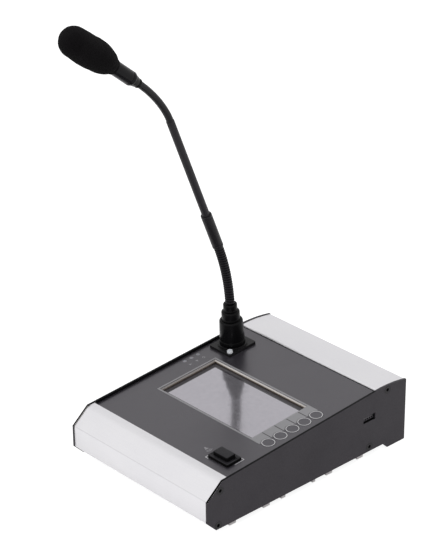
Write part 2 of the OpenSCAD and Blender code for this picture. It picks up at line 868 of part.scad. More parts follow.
// Repeats children at each contact
module round_contacts() {
    for (a = contact_angles) rotate(a) translate([contact_ring, 0, 0]) children();
}

module socket_insert() {
    length = socket_depth - socket_floor - insert_drop;
    color([0.14, 0.14, 0.15]) in_socket() translate([0, 0, socket_floor - socket_depth]) difference() {
        cylinder(h = length, d = insert_d);
        round_contacts() translate([0, 0, -cut]) cylinder(h = length + 2 * cut, r = contact_r + contact_gap);
    }
}

module socket_contacts() {
    length = socket_depth - insert_drop - 2;
    color("gold") in_socket() round_contacts() translate([0, 0, -socket_depth]) difference() {
        translate([0, 0, -contact_tail]) cylinder(h = length + contact_tail, r = contact_r);
        translate([0, 0, socket_floor]) cylinder(h = length, r = contact_r - contact_wall);
    }
}

module socket_screws() {
    slot = [3.2, 0.7];
    slot_d = 1;
    length = flange_t + overlay_t + face_t + 3;
    color("silver") in_socket() for (p = socket_screws_at) translate([p[0], p[1], flange_t]) {
        difference() {
            cylinder(h = socket_screw_head, r1 = pan_head_r - 0.1, r2 = pan_head_r - 0.4);
            for (turn = [0, 90]) rotate(turn) translate([0, 0, socket_screw_head - slot_d])
                linear_extrude(slot_d + cut) square(slot, center = true);
        }
        translate([0, 0, -length]) cylinder(h = length + eps, r = pan_r);
    }
}

module case_screws() {
    color([0.12, 0.12, 0.13]) {
        for (side = [0, 1], p = side_screws) mirror([side, 0, 0]) at_side_screw(p) side_screw();
        from_front() {
            for (p = bottom_screw_places()) translate([p[0], p[1], ground_gap]) pan_screw();
            for (p = rear_screw_places()) translate([p[0], rear_panel_y + sheet_t, p[1]])
                rotate([90, 0, 0]) pan_screw();
        }
    }
}

// A pan-head screw that runs along z from the face that its head sits on
module pan_screw() {
    translate([0, 0, -pan_head_h]) cylinder(h = pan_head_h, r1 = pan_head_r - 0.4, r2 = pan_head_r);
    translate([0, 0, -eps]) cylinder(h = sheet_t + skin_t + eps, r = pan_r);
}

// A countersunk screw with a hexagon socket, its head just under the plate's face
module side_screw() {
    below = 0.1;
    key_r = 1.5;
    shank_r = screw_r - seat_gap;
    difference() {
        union() {
            translate([0, 0, -screw_head_h])
                cylinder(h = screw_head_h - below, r1 = shank_r, r2 = screw_head_r - below);
            translate([0, 0, -screw_len]) cylinder(h = screw_len - screw_head_h + eps, r = shank_r);
        }
        translate([0, 0, -key_r]) cylinder(h = key_r + cut, r = key_r, $fn = 6);
    }
}

module foot_pads() {
    color([0.8, 0.79, 0.79]) from_front() for (side = [-1, 1], row = pad_rows)
        translate([side * (base_w / 2 - pad_edge - pad_w / 2), row[0], ground_gap / 2])
            cube([pad_w, row[1], ground_gap], center = true);
}

module expansion_header() {
    face_x = panel_half - header_recess;
    color([0.1, 0.1, 0.11]) from_front() difference() {
        block(
            [face_x - header_size[0], slot_y - header_size[1] / 2, board_top],
            [face_x, slot_y + header_size[1] / 2, board_top + header_size[2]]);
        for (i = [1 : header_columns], j = [1 : header_rows])
            translate([
                face_x + cut - header_hole_d / 2,
                slot_y + (i - (header_columns + 1) / 2) * header_pitch,
                slot_z + (j - (header_rows + 1) / 2) * header_pitch])
                cube([header_hole_d, header_hole, header_hole], center = true);
    }
}

module network_socket() {
    face_y = rear_panel_y + sheet_t + socket_proud;
    mouth_z = board_top + 2.6;
    latch = [6, 1.6];
    color([0.75, 0.75, 0.77]) from_front() difference() {
        block(
            [jack_x - jack_size[0] / 2, face_y - jack_size[1], board_top],
            [jack_x + jack_size[0] / 2, face_y, board_top + jack_size[2]]);
        block(
            [jack_x - jack_mouth[0] / 2, face_y - jack_mouth[1], mouth_z],
            [jack_x + jack_mouth[0] / 2, face_y + cut, mouth_z + jack_mouth[2]]);
        block(
            [jack_x - latch[0] / 2, face_y - jack_mouth[1], mouth_z - latch[1]],
            [jack_x + latch[0] / 2, face_y + cut, mouth_z + eps]);
    }
}

module power_socket() {
    face_y = rear_panel_y + sheet_t + socket_proud;
    axis_z = board_top + power_size[2] / 2;
    color([0.1, 0.1, 0.11]) from_front() {
        difference() {
            block(
                [power_x - power_size[0] / 2, face_y - power_size[1], board_top],
                [power_x + power_size[0] / 2, face_y, board_top + power_size[2]]);
            translate([power_x, face_y + cut, axis_z]) rotate([90, 0, 0])
                cylinder(h = power_depth + cut, r = power_r);
        }
        translate([power_x, face_y - cut, axis_z]) rotate([90, 0, 0])
            cylinder(h = power_depth, r = power_pin_r);
    }
}

// A body of revolution that stands in the socket
module plug_turn(points) {
    in_socket() rotate_extrude() polygon(points);
}

// Quarter round at the outer top edge of a sleeve, as [radius, height]
function shoulder(r, top, round) = [
    for (k = [0 : 6]) [r - round + round * cos(90 * k / 6), top - round + round * sin(90 * k / 6)]];

module plug_shell() {
    foot = flange_t + fit_gap;
    shell_r = plug_shell_d / 2;
    bore = shell_r - plug_wall;
    deck_r = boot_d / 2 - barrel_lip;
    barrel_r = barrel_d / 2;
    color([0.11, 0.11, 0.12]) plug_turn(concat(
        [[bore, -plug_enter], [shell_r, -plug_enter], [shell_r, foot]],
        [[barrel_r, foot], [barrel_r, foot + barrel_band]],
        shoulder(barrel_top_d / 2, barrel_h, barrel_round),
        [[deck_r, barrel_h], [deck_r, barrel_h - barrel_deck], [bore, barrel_h - barrel_deck]]));
}

module plug_insert() {
    color([0.14, 0.14, 0.15]) in_socket() difference() {
        cylinder(h = plug_insert_t, r = plug_shell_d / 2 - plug_wall - seat_gap);
        round_contacts() translate([0, 0, -cut])
            cylinder(h = plug_insert_t + 2 * cut, d = pin_d + 2 * seat_gap);
    }
}

module plug_pins() {
    low = pin_short - plug_enter;
    color("gold") in_socket() round_contacts() translate([0, 0, low]) cylinder(h = pin_tail - low, d = pin_d);
}

module plug_boot() {
    color([0.11, 0.11, 0.12]) plug_turn(concat(
        [[boot_bore, barrel_h], [boot_d / 2, barrel_h]],
        shoulder(boot_d / 2, boot_h, sleeve_round),
        [[boot_bore, boot_h]]));
}

module plug_ferrule() {
    color([0.11, 0.11, 0.12]) plug_turn(concat(
        [[low_bore, boot_h], [ferrule_d / 2, boot_h]],
        shoulder(ferrule_d / 2, ferrule_h, sleeve_round),
        [[low_bore, ferrule_h]]));
}

// Stands children at p with z along the lean
module at_lean(p, lean) {
    from_front() translate(p) rotate([lean, 0, 0]) children();
}

// Outline of a neck length between two levels, with its ribs, as [radius, height]
function rib_outline(r, depth, ribs, pitch, z0, z1) = concat(
    [[0, z0], [r, z0]],
    [for (i = [1 : 1 : ribs - 1]) each [
        [r, i * pitch - 0.28 * pitch], [r - depth, i * pitch - 0.12 * pitch],
        [r - depth, i * pitch + 0.12 * pitch], [r, i * pitch + 0.28 * pitch]]],
    [[r, z1], [0, z1]]);

// One length of a neck: cup below if it follows a joint, ball above if it leads to one
module neck_length(d, seg, ribs, depth, cup, rim, bore, has_cup, has_ball) {
    length = has_cup && has_ball ? seg : seg / 2;
    count = has_cup && has_ball ? ribs : ribs / 2;
    ball = cup - ball_gap;
    difference() {
        union() {
            rotate_extrude() polygon(rib_outline(
                d / 2, depth, count, seg / ribs, has_cup ? rim : 0, has_ball ? length - rim : length));
            if (has_ball) translate([0, 0, length]) sphere(ball);
        }
        if (has_cup) sphere(cup);
        translate([0, 0, -cut]) cylinder(h = length + ball + 2 * cut, r = bore);
    }
}

// Number k of the neck lengths from the foot, 0 to neck_joints
module lower_neck(k) {
    lean = lean_at(k, slope, stem_lean);
    foot = k == 0 ? low_start : neck_joint(low_start, low_seg, slope, stem_lean, k - 1);
    color([0.18, 0.17, 0.19]) at_lean(foot, lean) neck_length(
        low_d, low_seg, low_ribs, rib_depth, low_cup, low_rim, low_bore, k > 0, k < neck_joints);
}

module upper_neck(k) {
    lean = lean_at(k, stem_lean, head_lean, up_bow);
    foot = k == 0 ? up_start : neck_joint(up_start, up_seg, stem_lean, head_lean, k - 1, up_bow);
    color([0.18, 0.17, 0.19]) at_lean(foot, lean) neck_length(
        up_d, up_seg, 2, 0, up_cup, up_rim, up_bore, k > 0, k < neck_joints);
}

module neck_sleeve() {
    color([0.16, 0.16, 0.17]) at_lean(stem_start, stem_lean) difference() {
        rotate_extrude() polygon(concat(
            [[0, 0], [sleeve_d / 2 - sleeve_edge, 0], [sleeve_d / 2, sleeve_edge]],
            shoulder(sleeve_d / 2, sleeve_len, sleeve_edge),
            [[0, sleeve_len]]));
        translate([0, 0, -cut]) cylinder(h = sleeve_len, r = low_bore);
        translate([0, 0, sleeve_len - sleeve_seat]) cylinder(h = sleeve_len, d = stem_d + 2 * seat_gap);
    }
}

module stem_tube() {
    length = stem_len + sleeve_seat;
    foot = stem_start + (sleeve_len - sleeve_seat) * heading(stem_lean);
    color([0.18, 0.17, 0.19]) at_lean(foot, stem_lean) difference() {
        cylinder(h = length, d = stem_d);
        translate([0, 0, -cut]) cylinder(h = length + 2 * cut, d = stem_d - 2 * stem_wall);
    }
}

module capsule_housing() {
    rear = -ring_len - housing_len;
    r = housing_d / 2;
    ring_r = ring_d / 2;
    edge = 0.4;
    groove = 0.3;
    color([0.16, 0.16, 0.17]) at_lean(foam_start, head_lean) difference() {
        rotate_extrude() polygon([
            [0, rear], [ring_r - edge, rear], [ring_r, rear + edge], [ring_r, rear + 2.2],
            [ring_r - groove, rear + 2.5], [ring_r - groove, rear + 3], [ring_r + groove, rear + 3.4],
            [r - 2 * edge, -housing_len - edge], [r, edge - housing_len],
            [r, housing_tail], [0, housing_tail]]);
        translate([0, 0, rear - cut]) cylinder(h = ring_len + housing_len + 2 * capsule_drop, r = up_bore);
        translate([0, 0, capsule_drop]) cylinder(h = housing_tail, d = capsule_d + 2 * seat_gap);
    }
}

module mic_capsule() {
    color("silver") at_lean(foam_start, head_lean) translate([0, 0, capsule_drop])
        cylinder(h = housing_tail - capsule_drop - capsule_short, d = capsule_d);
}

module foam_windscreen() {
    side = [
        for (k = [0 : foam_steps])
            let (t = foam_len * sin(90 * k / foam_steps))
            [foam_radius(t), t]];
    color([0.08, 0.08, 0.08]) at_lean(foam_start, head_lean) difference() {
        rotate_extrude() polygon(concat([[0, 0]], side));
        translate([0, 0, -cut]) cylinder(h = housing_tail + cut, d = housing_d + 2 * seat_gap);
    }
}

left_side_plate();
right_side_plate();
front_panel();
rear_cover();
rear_panel();
rear_crossbar();
bottom_plate();
face_plate();
overlay();
lcd_bezel();
lcd_panel();
lcd_backlight();
main_board();
board_spacers();
key_board();
key_switches();
for (i = [1 : key_count]) {
    soft_key(i);
}
talk_frame();
talk_button();
talk_spring();
talk_switch();
status_lights();
socket_shell();
socket_insert();
socket_contacts();
socket_screws();
case_screws();
foot_pads();
expansion_header();
network_socket();
power_socket();
plug_shell();
plug_insert();
plug_pins();
plug_boot();
plug_ferrule();
for (k = [0 : neck_joints]) {
    lower_neck(k);
    upper_neck(k);
}
neck_sleeve();
stem_tube();
capsule_housing();
mic_capsule();
foam_windscreen();
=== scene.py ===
# %% [markdown]
# A desk paging microphone, dressed for its picture. The solids come in as a fixed frame, each with its
# real size and place, so nothing here is fitted by eye. This lesson gives every solid a finish, and puts
# a finer mesh over those that need one.

import json
import math

import bmesh
import bpy
from mathutils import Matrix, Vector, noise


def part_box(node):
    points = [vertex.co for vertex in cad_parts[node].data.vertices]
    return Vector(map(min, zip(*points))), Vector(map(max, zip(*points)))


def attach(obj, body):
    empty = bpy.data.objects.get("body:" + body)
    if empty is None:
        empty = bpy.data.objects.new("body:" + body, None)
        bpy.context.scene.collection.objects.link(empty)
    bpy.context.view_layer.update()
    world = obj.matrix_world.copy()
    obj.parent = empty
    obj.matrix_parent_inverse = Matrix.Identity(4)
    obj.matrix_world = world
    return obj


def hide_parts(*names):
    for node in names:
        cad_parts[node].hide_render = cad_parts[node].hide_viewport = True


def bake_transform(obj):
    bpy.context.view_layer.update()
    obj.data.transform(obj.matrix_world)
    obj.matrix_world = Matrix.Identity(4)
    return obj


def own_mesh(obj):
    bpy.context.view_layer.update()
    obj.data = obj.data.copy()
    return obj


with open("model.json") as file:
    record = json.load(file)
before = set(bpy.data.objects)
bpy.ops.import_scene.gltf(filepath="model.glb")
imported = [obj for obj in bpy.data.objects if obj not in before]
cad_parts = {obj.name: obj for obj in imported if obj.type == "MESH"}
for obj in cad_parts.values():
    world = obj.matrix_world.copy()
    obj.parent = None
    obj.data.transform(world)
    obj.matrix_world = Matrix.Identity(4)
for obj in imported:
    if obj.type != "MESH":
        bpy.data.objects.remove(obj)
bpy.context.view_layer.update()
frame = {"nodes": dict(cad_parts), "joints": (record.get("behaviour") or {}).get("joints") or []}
mm = 0.001
scene = bpy.context.scene
scene.view_settings.view_transform = "Standard"

# %% [markdown]
# The camera comes first, because every later choice is judged through it. A product photograph is taken
# with a long lens, so the upright lines hardly lean together. The focal length is known in pixels of the
# picture, and Blender wants millimetres on a sensor whose long side is 36 mm, so one is worked out from
# the other.

# %% Camera at the photograph's viewing angle
IMAGE_HEIGHT = 550
FOCAL_PIXELS = 2148
SENSOR = 36
AZIMUTH, ELEVATION, ROLL = (math.radians(angle) for angle in (47.14, 26.49, 0.33))
# The camera's place from the middle of the front face at desk level
CAMERA_PLACE = Vector((1.1292, -0.9533, 0.9381))

front_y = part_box("left_side_plate")[0].y
back = Vector((
    math.sin(AZIMUTH) * math.cos(ELEVATION), -math.cos(AZIMUTH) * math.cos(ELEVATION), math.sin(ELEVATION)))
right = Vector((0, 0, 1)).cross(back).normalized()
axes = Matrix((right, back.cross(right), back)).transposed().to_4x4()

camera = bpy.data.objects.new("camera", bpy.data.cameras.new("camera"))
camera.data.sensor_width = SENSOR
camera.data.lens = FOCAL_PIXELS / IMAGE_HEIGHT * SENSOR
camera.matrix_world = (
    Matrix.Translation(CAMERA_PLACE + Vector((0, front_y, 0))) @ axes @ Matrix.Rotation(-ROLL, 4, "Z"))
scene.collection.objects.link(camera)
scene.camera = camera
print("camera:", round(camera.data.lens, 1), "mm lens,", round(CAMERA_PLACE.length, 2), "m away")

# %% [markdown]
# The object was photographed on white paper under large soft lamps. The sky is one even light: plain
# white where the camera or a mirror-like surface sees it, and a little less where it lights the object,
# so that the lamps can still model the shapes. Small helpers join the shader nodes, here and in every
# material.

# %% White surroundings
SKY_LIGHT = 0.62


def link_or_set(tree, socket, value):
    """Links a socket where the value is another socket, and else gives it the steady value."""
    if isinstance(value, bpy.types.NodeSocket):
        tree.links.new(value, socket)
    else:
        socket.default_value = value


def feed(tree, node, **inputs):
    """Feeds the inputs of a node by their names, with _ for a space."""
    for name, value in inputs.items():
        link_or_set(tree, node.inputs[name.replace("_", " ")], value)
    return node


def add_node(tree, kind, settings=None, **inputs):
    """A new shader node with its settings made and its inputs fed."""
    node = tree.nodes.new("ShaderNode" + kind)
    for name, value in (settings or {}).items():
        setattr(node, name, value)
    return feed(tree, node, **inputs)


def arithmetic(tree, operation, first, second, clamp=False):
    """The sum, product or larger one of two values, each a number or a socket."""
    node = add_node(tree, "Math", {"operation": operation, "use_clamp": clamp})
    link_or_set(tree, node.inputs[0], first)
    link_or_set(tree, node.inputs[1], second)
    return node.outputs[0]


def shown_directly(tree):
    """A value that is 1 where the camera, a reflection or a glass looks straight at a surface."""
    rays = add_node(tree, "LightPath").outputs
    seen = arithmetic(tree, "MAXIMUM", rays["Is Camera Ray"], rays["Is Glossy Ray"])
    return arithmetic(tree, "MAXIMUM", seen, rays["Is Transmission Ray"])


scene.world = bpy.data.worlds.new("white studio")
scene.world.use_nodes = True
sky = scene.world.node_tree
level = add_node(sky, "MapRange", Value=shown_directly(sky), To_Min=SKY_LIGHT, To_Max=1.0)
feed(sky, sky.nodes["Background"], Color=(1, 1, 1, 1), Strength=level.outputs[0])
print("sky:", SKY_LIGHT, "on the object, 1.0 where it is seen")

# %% [markdown]
# White paper has to look white and still hold a soft shadow. A plain white floor would come out grey,
# because no paper sends back all of its light. So the floor glows a little where it is looked at, and its
# own lit part, which the object can shade, adds the rest.

# %% Paper floor
FLOOR_SIZE = 12
FLOOR_DROP = 0.2 * mm
FLOOR_GLOW = 0.845
FLOOR_TONE = 0.44

bm = bmesh.new()
bmesh.ops.create_grid(bm, x_segments=1, y_segments=1, size=FLOOR_SIZE / 2)
bmesh.ops.translate(bm, vec=(0, 0, -FLOOR_DROP), verts=bm.verts)
paper_mesh = bpy.data.meshes.new("paper_floor")
bm.to_mesh(paper_mesh)
bm.free()
paper = bpy.data.materials.new("white paper")
paper.use_nodes = True
tree = paper.node_tree
feed(
    tree, tree.nodes["Principled BSDF"], Base_Color=(FLOOR_TONE, FLOOR_TONE, FLOOR_TONE, 1), Roughness=1,
    Specular_IOR_Level=0, Emission_Color=(1, 1, 1, 1),
    Emission_Strength=arithmetic(tree, "MULTIPLY", shown_directly(tree), FLOOR_GLOW))
paper_mesh.materials.append(paper)
floor = bpy.data.objects.new("paper_floor", paper_mesh)
scene.collection.objects.link(floor)
print("floor:", FLOOR_SIZE, "m wide")

# %% [markdown]
# Three large soft boxes do the modelling: one over the front left for the pale front, one above for the
# panel, and a weak one at the right for the side plate. A small box beside the camera draws the thin
# bright line along edges. The boxes above and at the right would glare in the silver, so reflections pass
# them by.

# %% Soft boxes
# Name, place, size and power of each lamp, and whether reflections show it
LAMPS = (
    ("front box", (-0.4, -1.8, 1.4), 1.6, 6.8, True),
    ("top box", (0.1, 0.3, 2.2), 1.8, 8.5, False),
    ("right box", (2.0, 0.2, 0.9), 1.2, 2.5, False),
    ("camera box", (1.25, -1.25, 0.95), 0.3, 2.2, True))
LOOK_AT = Vector((0, 0, 0.1))

for name, place, size, power, in_reflections in LAMPS:
    lamp = bpy.data.lights.new(name, "AREA")
    lamp.shape = "SQUARE"
    lamp.size = size
    lamp.energy = power
    box = bpy.data.objects.new(name, lamp)
    box.location = place
    box.rotation_mode = "QUATERNION"
    box.rotation_quaternion = (LOOK_AT - Vector(place)).to_track_quat("-Z", "Y")
    box.visible_glossy = in_reflections
    scene.collection.objects.link(box)
print("lamps:", len(LAMPS))

# %% [markdown]
# Finishes are shader nodes, and what several finishes share becomes a node group. The first is a fine
# grain: small specks over broad, faint clouds. It mixes two near tones, moves the roughness between two
# values and gives a height for a bump.

# %% Fine grain group
CLOUDS_PER_METRE = 22
CLOUD_SHARE = 0.4
GRAIN_RANGE = (0.35, 0.65)


def new_group(name, inputs, outputs):
    """An empty node group with named sockets, what comes into it, and the node at its end."""
    group = bpy.data.node_groups.new(name, "ShaderNodeTree")
    for side, sockets in (("INPUT", inputs), ("OUTPUT", outputs)):
        for socket, kind in sockets.items():
            group.interface.new_socket(name=socket, in_out=side, socket_type="NodeSocket" + kind)
    return group, group.nodes.new("NodeGroupInput").outputs, group.nodes.new("NodeGroupOutput")


def spread(tree, value, limits):
    """Spreads what lies between two limits over the range from 0 to 1."""
    return add_node(tree, "MapRange", Value=value, From_Min=limits[0], From_Max=limits[1]).outputs[0]


grain_group, entry, leave = new_group(
    "fine grain",
    {"Vector": "Vector", "Grains": "Float", "Light": "Color", "Dark": "Color", "Polished": "Float",
     "Dull": "Float"},
    {"Colour": "Color", "Roughness": "Float", "Height": "Float"})
specks = add_node(grain_group, "TexNoise", Vector=entry["Vector"], Scale=entry["Grains"], Detail=3)
clouds = add_node(grain_group, "TexNoise", Vector=entry["Vector"], Scale=CLOUDS_PER_METRE, Detail=2)
both = add_node(
    grain_group, "Mix", Factor=CLOUD_SHARE, A=specks.outputs["Fac"], B=clouds.outputs["Fac"])
mask = spread(grain_group, both.outputs["Result"], GRAIN_RANGE)
tones = add_node(grain_group, "Mix", {"data_type": "RGBA"}, Factor=mask, A=entry["Light"], B=entry["Dark"])
gloss = add_node(grain_group, "MapRange", Value=mask, To_Min=entry["Polished"], To_Max=entry["Dull"])
feed(
    grain_group, leave, Colour=tones.outputs["Result"], Roughness=gloss.outputs[0],
    Height=specks.outputs["Fac"])
print("group:", grain_group.name)

# %% [markdown]
# Extruded aluminium and rolled sheet carry fine lines along the way they were drawn. A noise that is
# stretched far along one axis turns into long thin lines, so the group needs no image.

# %% Drawn lines group
LINE_SQUEEZE = 0.012
LINE_RANGE = (0.32, 0.68)

lines_group, entry, leave = new_group(
    "drawn lines", {"Vector": "Vector", "Lines": "Float"}, {"Mask": "Float"})
squeeze = add_node(lines_group, "VectorMath", {"operation": "MULTIPLY"}, Vector=entry["Vector"])
squeeze.inputs[1].default_value = (LINE_SQUEEZE, 1, 1)
streaks = add_node(lines_group, "TexNoise", Vector=squeeze.outputs[0], Scale=entry["Lines"], Detail=4)
feed(lines_group, leave, Mask=spread(lines_group, streaks.outputs["Fac"], LINE_RANGE))
print("group:", lines_group.name)

# %% [markdown]
# Whatever is pressed, plugged or wiped gathers faint marks: patches a touch duller than the rest. They
# only show in the gloss, so this group gives a mask for the roughness and leaves the colour alone.

# %% Handling marks group
MARKS_PER_METRE = 70
MARK_RANGE = (0.5, 0.75)

marks_group, entry, leave = new_group("handling marks", {"Vector": "Vector"}, {"Mask": "Float"})
wipes = add_node(
    marks_group, "TexNoise", Vector=entry["Vector"], Scale=MARKS_PER_METRE, Detail=5, Distortion=1.2)
feed(marks_group, leave, Mask=spread(marks_group, wipes.outputs["Fac"], MARK_RANGE))
print("group:", marks_group.name)

# %% [markdown]
# Powder paint dries in soft domes like orange peel, and foam is a froth of open cells. Both are a pattern
# of cells, so one group serves them: the distance to the nearest cell's middle is the height.

# %% Cell pattern group
CELL_RANGE = (0.1, 0.6)

cells_group, entry, leave = new_group(
    "cell pattern", {"Vector": "Vector", "Cells": "Float"}, {"Mask": "Float"})
froth = add_node(
    cells_group, "TexVoronoi", {"feature": "SMOOTH_F1"}, Vector=entry["Vector"], Scale=entry["Cells"],
    Smoothness=0.6)
feed(cells_group, leave, Mask=spread(cells_group, froth.outputs["Distance"], CELL_RANGE))
print("group:", cells_group.name)

# %% [markdown]
# One function now mixes a finish from the groups, so that each paint is a few plain values: two tones as
# they look in daylight, the size of the grain, the range of roughness, and what else it carries. Steady
# values go straight to the shader's own sockets, where other programs can read them.

# %% Finish maker
LINES_DULL = 0.08


def tone(red, green, blue):
    """A colour given as it looks on screen, 0 to 255, in the linear values that shaders use."""
    parts = (value / 255 for value in (red, green, blue))
    return (*(p / 12.92 if p <= 0.04045 else ((p + 0.055) / 1.055) ** 2.4 for p in parts), 1.0)


def finish(name, light, dark, grains, rough, bump=0.0, lines=0, cells=0, marks=0.0, mirror=0.5, **sockets):
    """A finish with a grain, and drawn lines, cells or handling marks where it has them.
    grains, lines and cells are counts to the metre and bump is in millimetres. marks adds to the
    roughness, and mirror tells how strongly the surface reflects."""
    material = bpy.data.materials.new(name)
    material.use_nodes = True
    tree = material.node_tree
    shader = tree.nodes["Principled BSDF"]
    where = add_node(tree, "TexCoord").outputs["Object"]

    def use(group, **values):
        """A group put into this material, reading the object's own coordinates."""
        return add_node(tree, "Group", {"node_tree": group}, Vector=where, **values).outputs

    def duller(roughness, mask, amount):
        """The roughness with an amount added where a mask shows."""
        return arithmetic(tree, "ADD", roughness, arithmetic(tree, "MULTIPLY", mask, amount), clamp=True)

    grain = use(
        grain_group, Grains=grains, Light=tone(*light), Dark=tone(*dark), Polished=rough[0], Dull=rough[1])
    height, roughness = grain["Height"], grain["Roughness"]
    if lines:
        height = use(lines_group, Lines=lines)["Mask"]
        roughness = duller(roughness, height, LINES_DULL)
    if cells:
        height = use(cells_group, Cells=cells)["Mask"]
    if marks:
        roughness = duller(roughness, use(marks_group)["Mask"], marks)
    if bump:
        relief = add_node(tree, "Bump", Distance=bump * mm, Height=height)
        feed(tree, shader, Normal=relief.outputs["Normal"])
    feed(tree, shader, Base_Color=grain["Colour"], Roughness=roughness, Specular_IOR_Level=mirror, **sockets)
    return material


print("finishes are made by one function from", len(bpy.data.node_groups), "groups")

# %% [markdown]
# The case has three main finishes: dark powder paint on the plates and sheets, satin silver on the two
# extruded profiles, and a satin black foil over the panel, which looks grey only because it mirrors the
# white room. The profiles are bare anodised metal, so they are fully metallic, and their fine lines run
# along the extrusion.

# %% Case finishes
plate_paint = finish(
    "dark powder paint", (54, 50, 56), (49, 46, 51), 900, (0.42, 0.55), 0.012, cells=1500, marks=0.05,
    mirror=0.22)
# Painted shade: a near black for rims, recesses and joints that lie in shade
shade_black = finish("painted shade black", (15, 15, 17), (11, 11, 13), 900, (0.3, 0.4), mirror=0.06)
sheet_paint = finish(
    "dark sheet paint", (48, 47, 50), (40, 39, 42), 900, (0.5, 0.62), 0.03, cells=1500, mirror=0.3)
silver_skin = finish(
    "satin anodised silver", (223, 222, 224), (220, 219, 222), 1400, (0.5, 0.54), 0.0012, lines=2600,
    marks=0.03, Metallic=1.0)
# Painted shade: the same satin silver, darker, for the crease over the upright front
silver_crease_shade = finish(
    "silver with painted crease shade", (211, 210, 212), (208, 207, 210), 1400, (0.5, 0.54), 0.0012, lines=2600,
    Metallic=1.0)
foil_grey = finish(
    "satin black foil", (41, 39, 44), (37, 35, 40), 5200, (0.27, 0.33), 0.006, marks=0.05, mirror=0.9,
    Specular_Tint=(0.97, 0.93, 1.0, 1.0))
face_metal = finish(
    "milled aluminium", (200, 196, 194), (182, 178, 176), 2500, (0.45, 0.6), 0.006, lines=2400, Metallic=0.3)
# Painted highlight: a near white for cut edges and bevels that catch the light
painted_highlight = finish("bright milled cut", (252, 248, 245), (244, 240, 236), 2500, (0.5, 0.6))
print("case finishes made")

# %% [markdown]
# Printed inks, the display and the small parts of the panel come next. The display is switched off: a
# grey film behind hard glass. Most of what it shows is a soft mirror picture of the white room, so it is
# part metal with little roughness, under a clear coat.

# %% Panel finishes
ink_grey = finish("grey ink", (139, 138, 141), (131, 130, 133), 4200, (0.45, 0.55))
ink_pale = finish("pale ink", (205, 204, 206), (192, 191, 194), 4200, (0.4, 0.5))
ink_faint = finish("faint ink", (138, 136, 140), (128, 126, 130), 4200, (0.45, 0.55))
ink_dark = finish("dark ink", (52, 50, 54), (46, 44, 48), 4200, (0.45, 0.55))
display_film = finish(
    "switched-off display", (170, 167, 174), (164, 161, 168), 260, (0.1, 0.14), marks=0.1, Metallic=0.7,
    Coat_Weight=0.4, Coat_Roughness=0.04)
display_mask = finish("dark glass border", (63, 61, 65), (57, 55, 59), 900, (0.12, 0.2), marks=0.08)
bezel_tin = finish(
    "brown tinned bezel", (142, 131, 122), (120, 109, 101), 1100, (0.35, 0.5), 0.005, lines=2000,
    Metallic=1.0)
key_foil = finish(
    "dark key foil", (84, 82, 87), (76, 74, 79), 5200, (0.45, 0.55), 0.012, marks=0.1, mirror=0.4)
light_smoke = finish(
    "smoky light window", (134, 132, 137), (122, 120, 125), 2600, (0.25, 0.35), Subsurface_Weight=0.15,
    Subsurface_Scale=1.0 * mm)
print("panel finishes made")

# %% [markdown]
# The microphone and its plug are all black, yet no two blacks are alike: gloss enamel on the plug, satin
# paint on the stem, dull paint on the coiled neck, textured plastic on the button, and foam that gives
# back hardly any light. The difference is in the roughness and in how strongly the surface mirrors.

# %% Black finishes
plug_enamel = finish(
    "gloss black enamel", (9, 9, 10), (6, 6, 7), 1200, (0.24, 0.32), 0.004, marks=0.1, mirror=0.1)
socket_plastic = finish(
    "satin black plastic", (22, 21, 23), (17, 16, 18), 2600, (0.36, 0.46), 0.012, marks=0.05, mirror=0.2)
button_plastic = finish(
    "textured black plastic", (30, 29, 33), (25, 24, 28), 2600, (0.45, 0.58), 0.03, cells=3200, marks=0.08,
    mirror=0.25)
# Painted shade: a darker black for the sides of the talk button and its frame
button_side_shade = finish("black plastic with painted side shade", (9, 9, 10), (6, 6, 7), 2600, (0.4, 0.5), mirror=0.08)
stem_paint = finish(
    "satin black paint", (41, 39, 43), (35, 33, 37), 1400, (0.4, 0.5), 0.01, cells=2600, marks=0.06,
    mirror=0.22)
sleeve_plastic = finish(
    "shrunk black plastic", (29, 27, 31), (23, 21, 25), 1400, (0.38, 0.48), 0.01, marks=0.06, mirror=0.2)
housing_paint = finish(
    "gloss black paint", (21, 20, 23), (16, 15, 18), 1400, (0.2, 0.28), 0.004, marks=0.05, mirror=0.1)
# Painted shade: a near black for the faces deep in the neck's grooves
neck_groove_shade = finish("painted shade in neck grooves", (9, 8, 10), (6, 5, 7), 2200, (0.6, 0.7), mirror=0.05)
neck_rubber = finish(
    "dull black neck", (33, 31, 35), (25, 23, 27), 2200, (0.48, 0.6), 0.02, marks=0.05, mirror=0.2)
neck_smooth = finish(
    "smooth black neck", (25, 23, 27), (19, 17, 21), 2200, (0.36, 0.46), 0.01, marks=0.05, mirror=0.2)
foam_black = finish(
    "open black foam", (21, 19, 21), (10, 9, 10), 1500, (0.9, 1.0), 0.25, cells=1700, mirror=0.04,
    Sheen_Weight=0.03, Sheen_Roughness=0.6)
screw_black = finish(
    "blackened steel", (44, 43, 45), (33, 32, 34), 2400, (0.35, 0.5), 0.01, mirror=0.3, Metallic=0.5)
inner_black = finish("moulded black", (32, 31, 33), (26, 25, 27), 1800, (0.5, 0.6), 0.01)
header_grey = finish("dark grey header", (72, 69, 74), (64, 61, 66), 1800, (0.5, 0.6), 0.01)
print("black finishes made")

# %% [markdown]
# The rest of the shelf: pale zinc for the two screws beside the plug, steel, tin and gold for small metal
# parts, green lacquer for the boards, white for the back light and pale rubber for the pads.

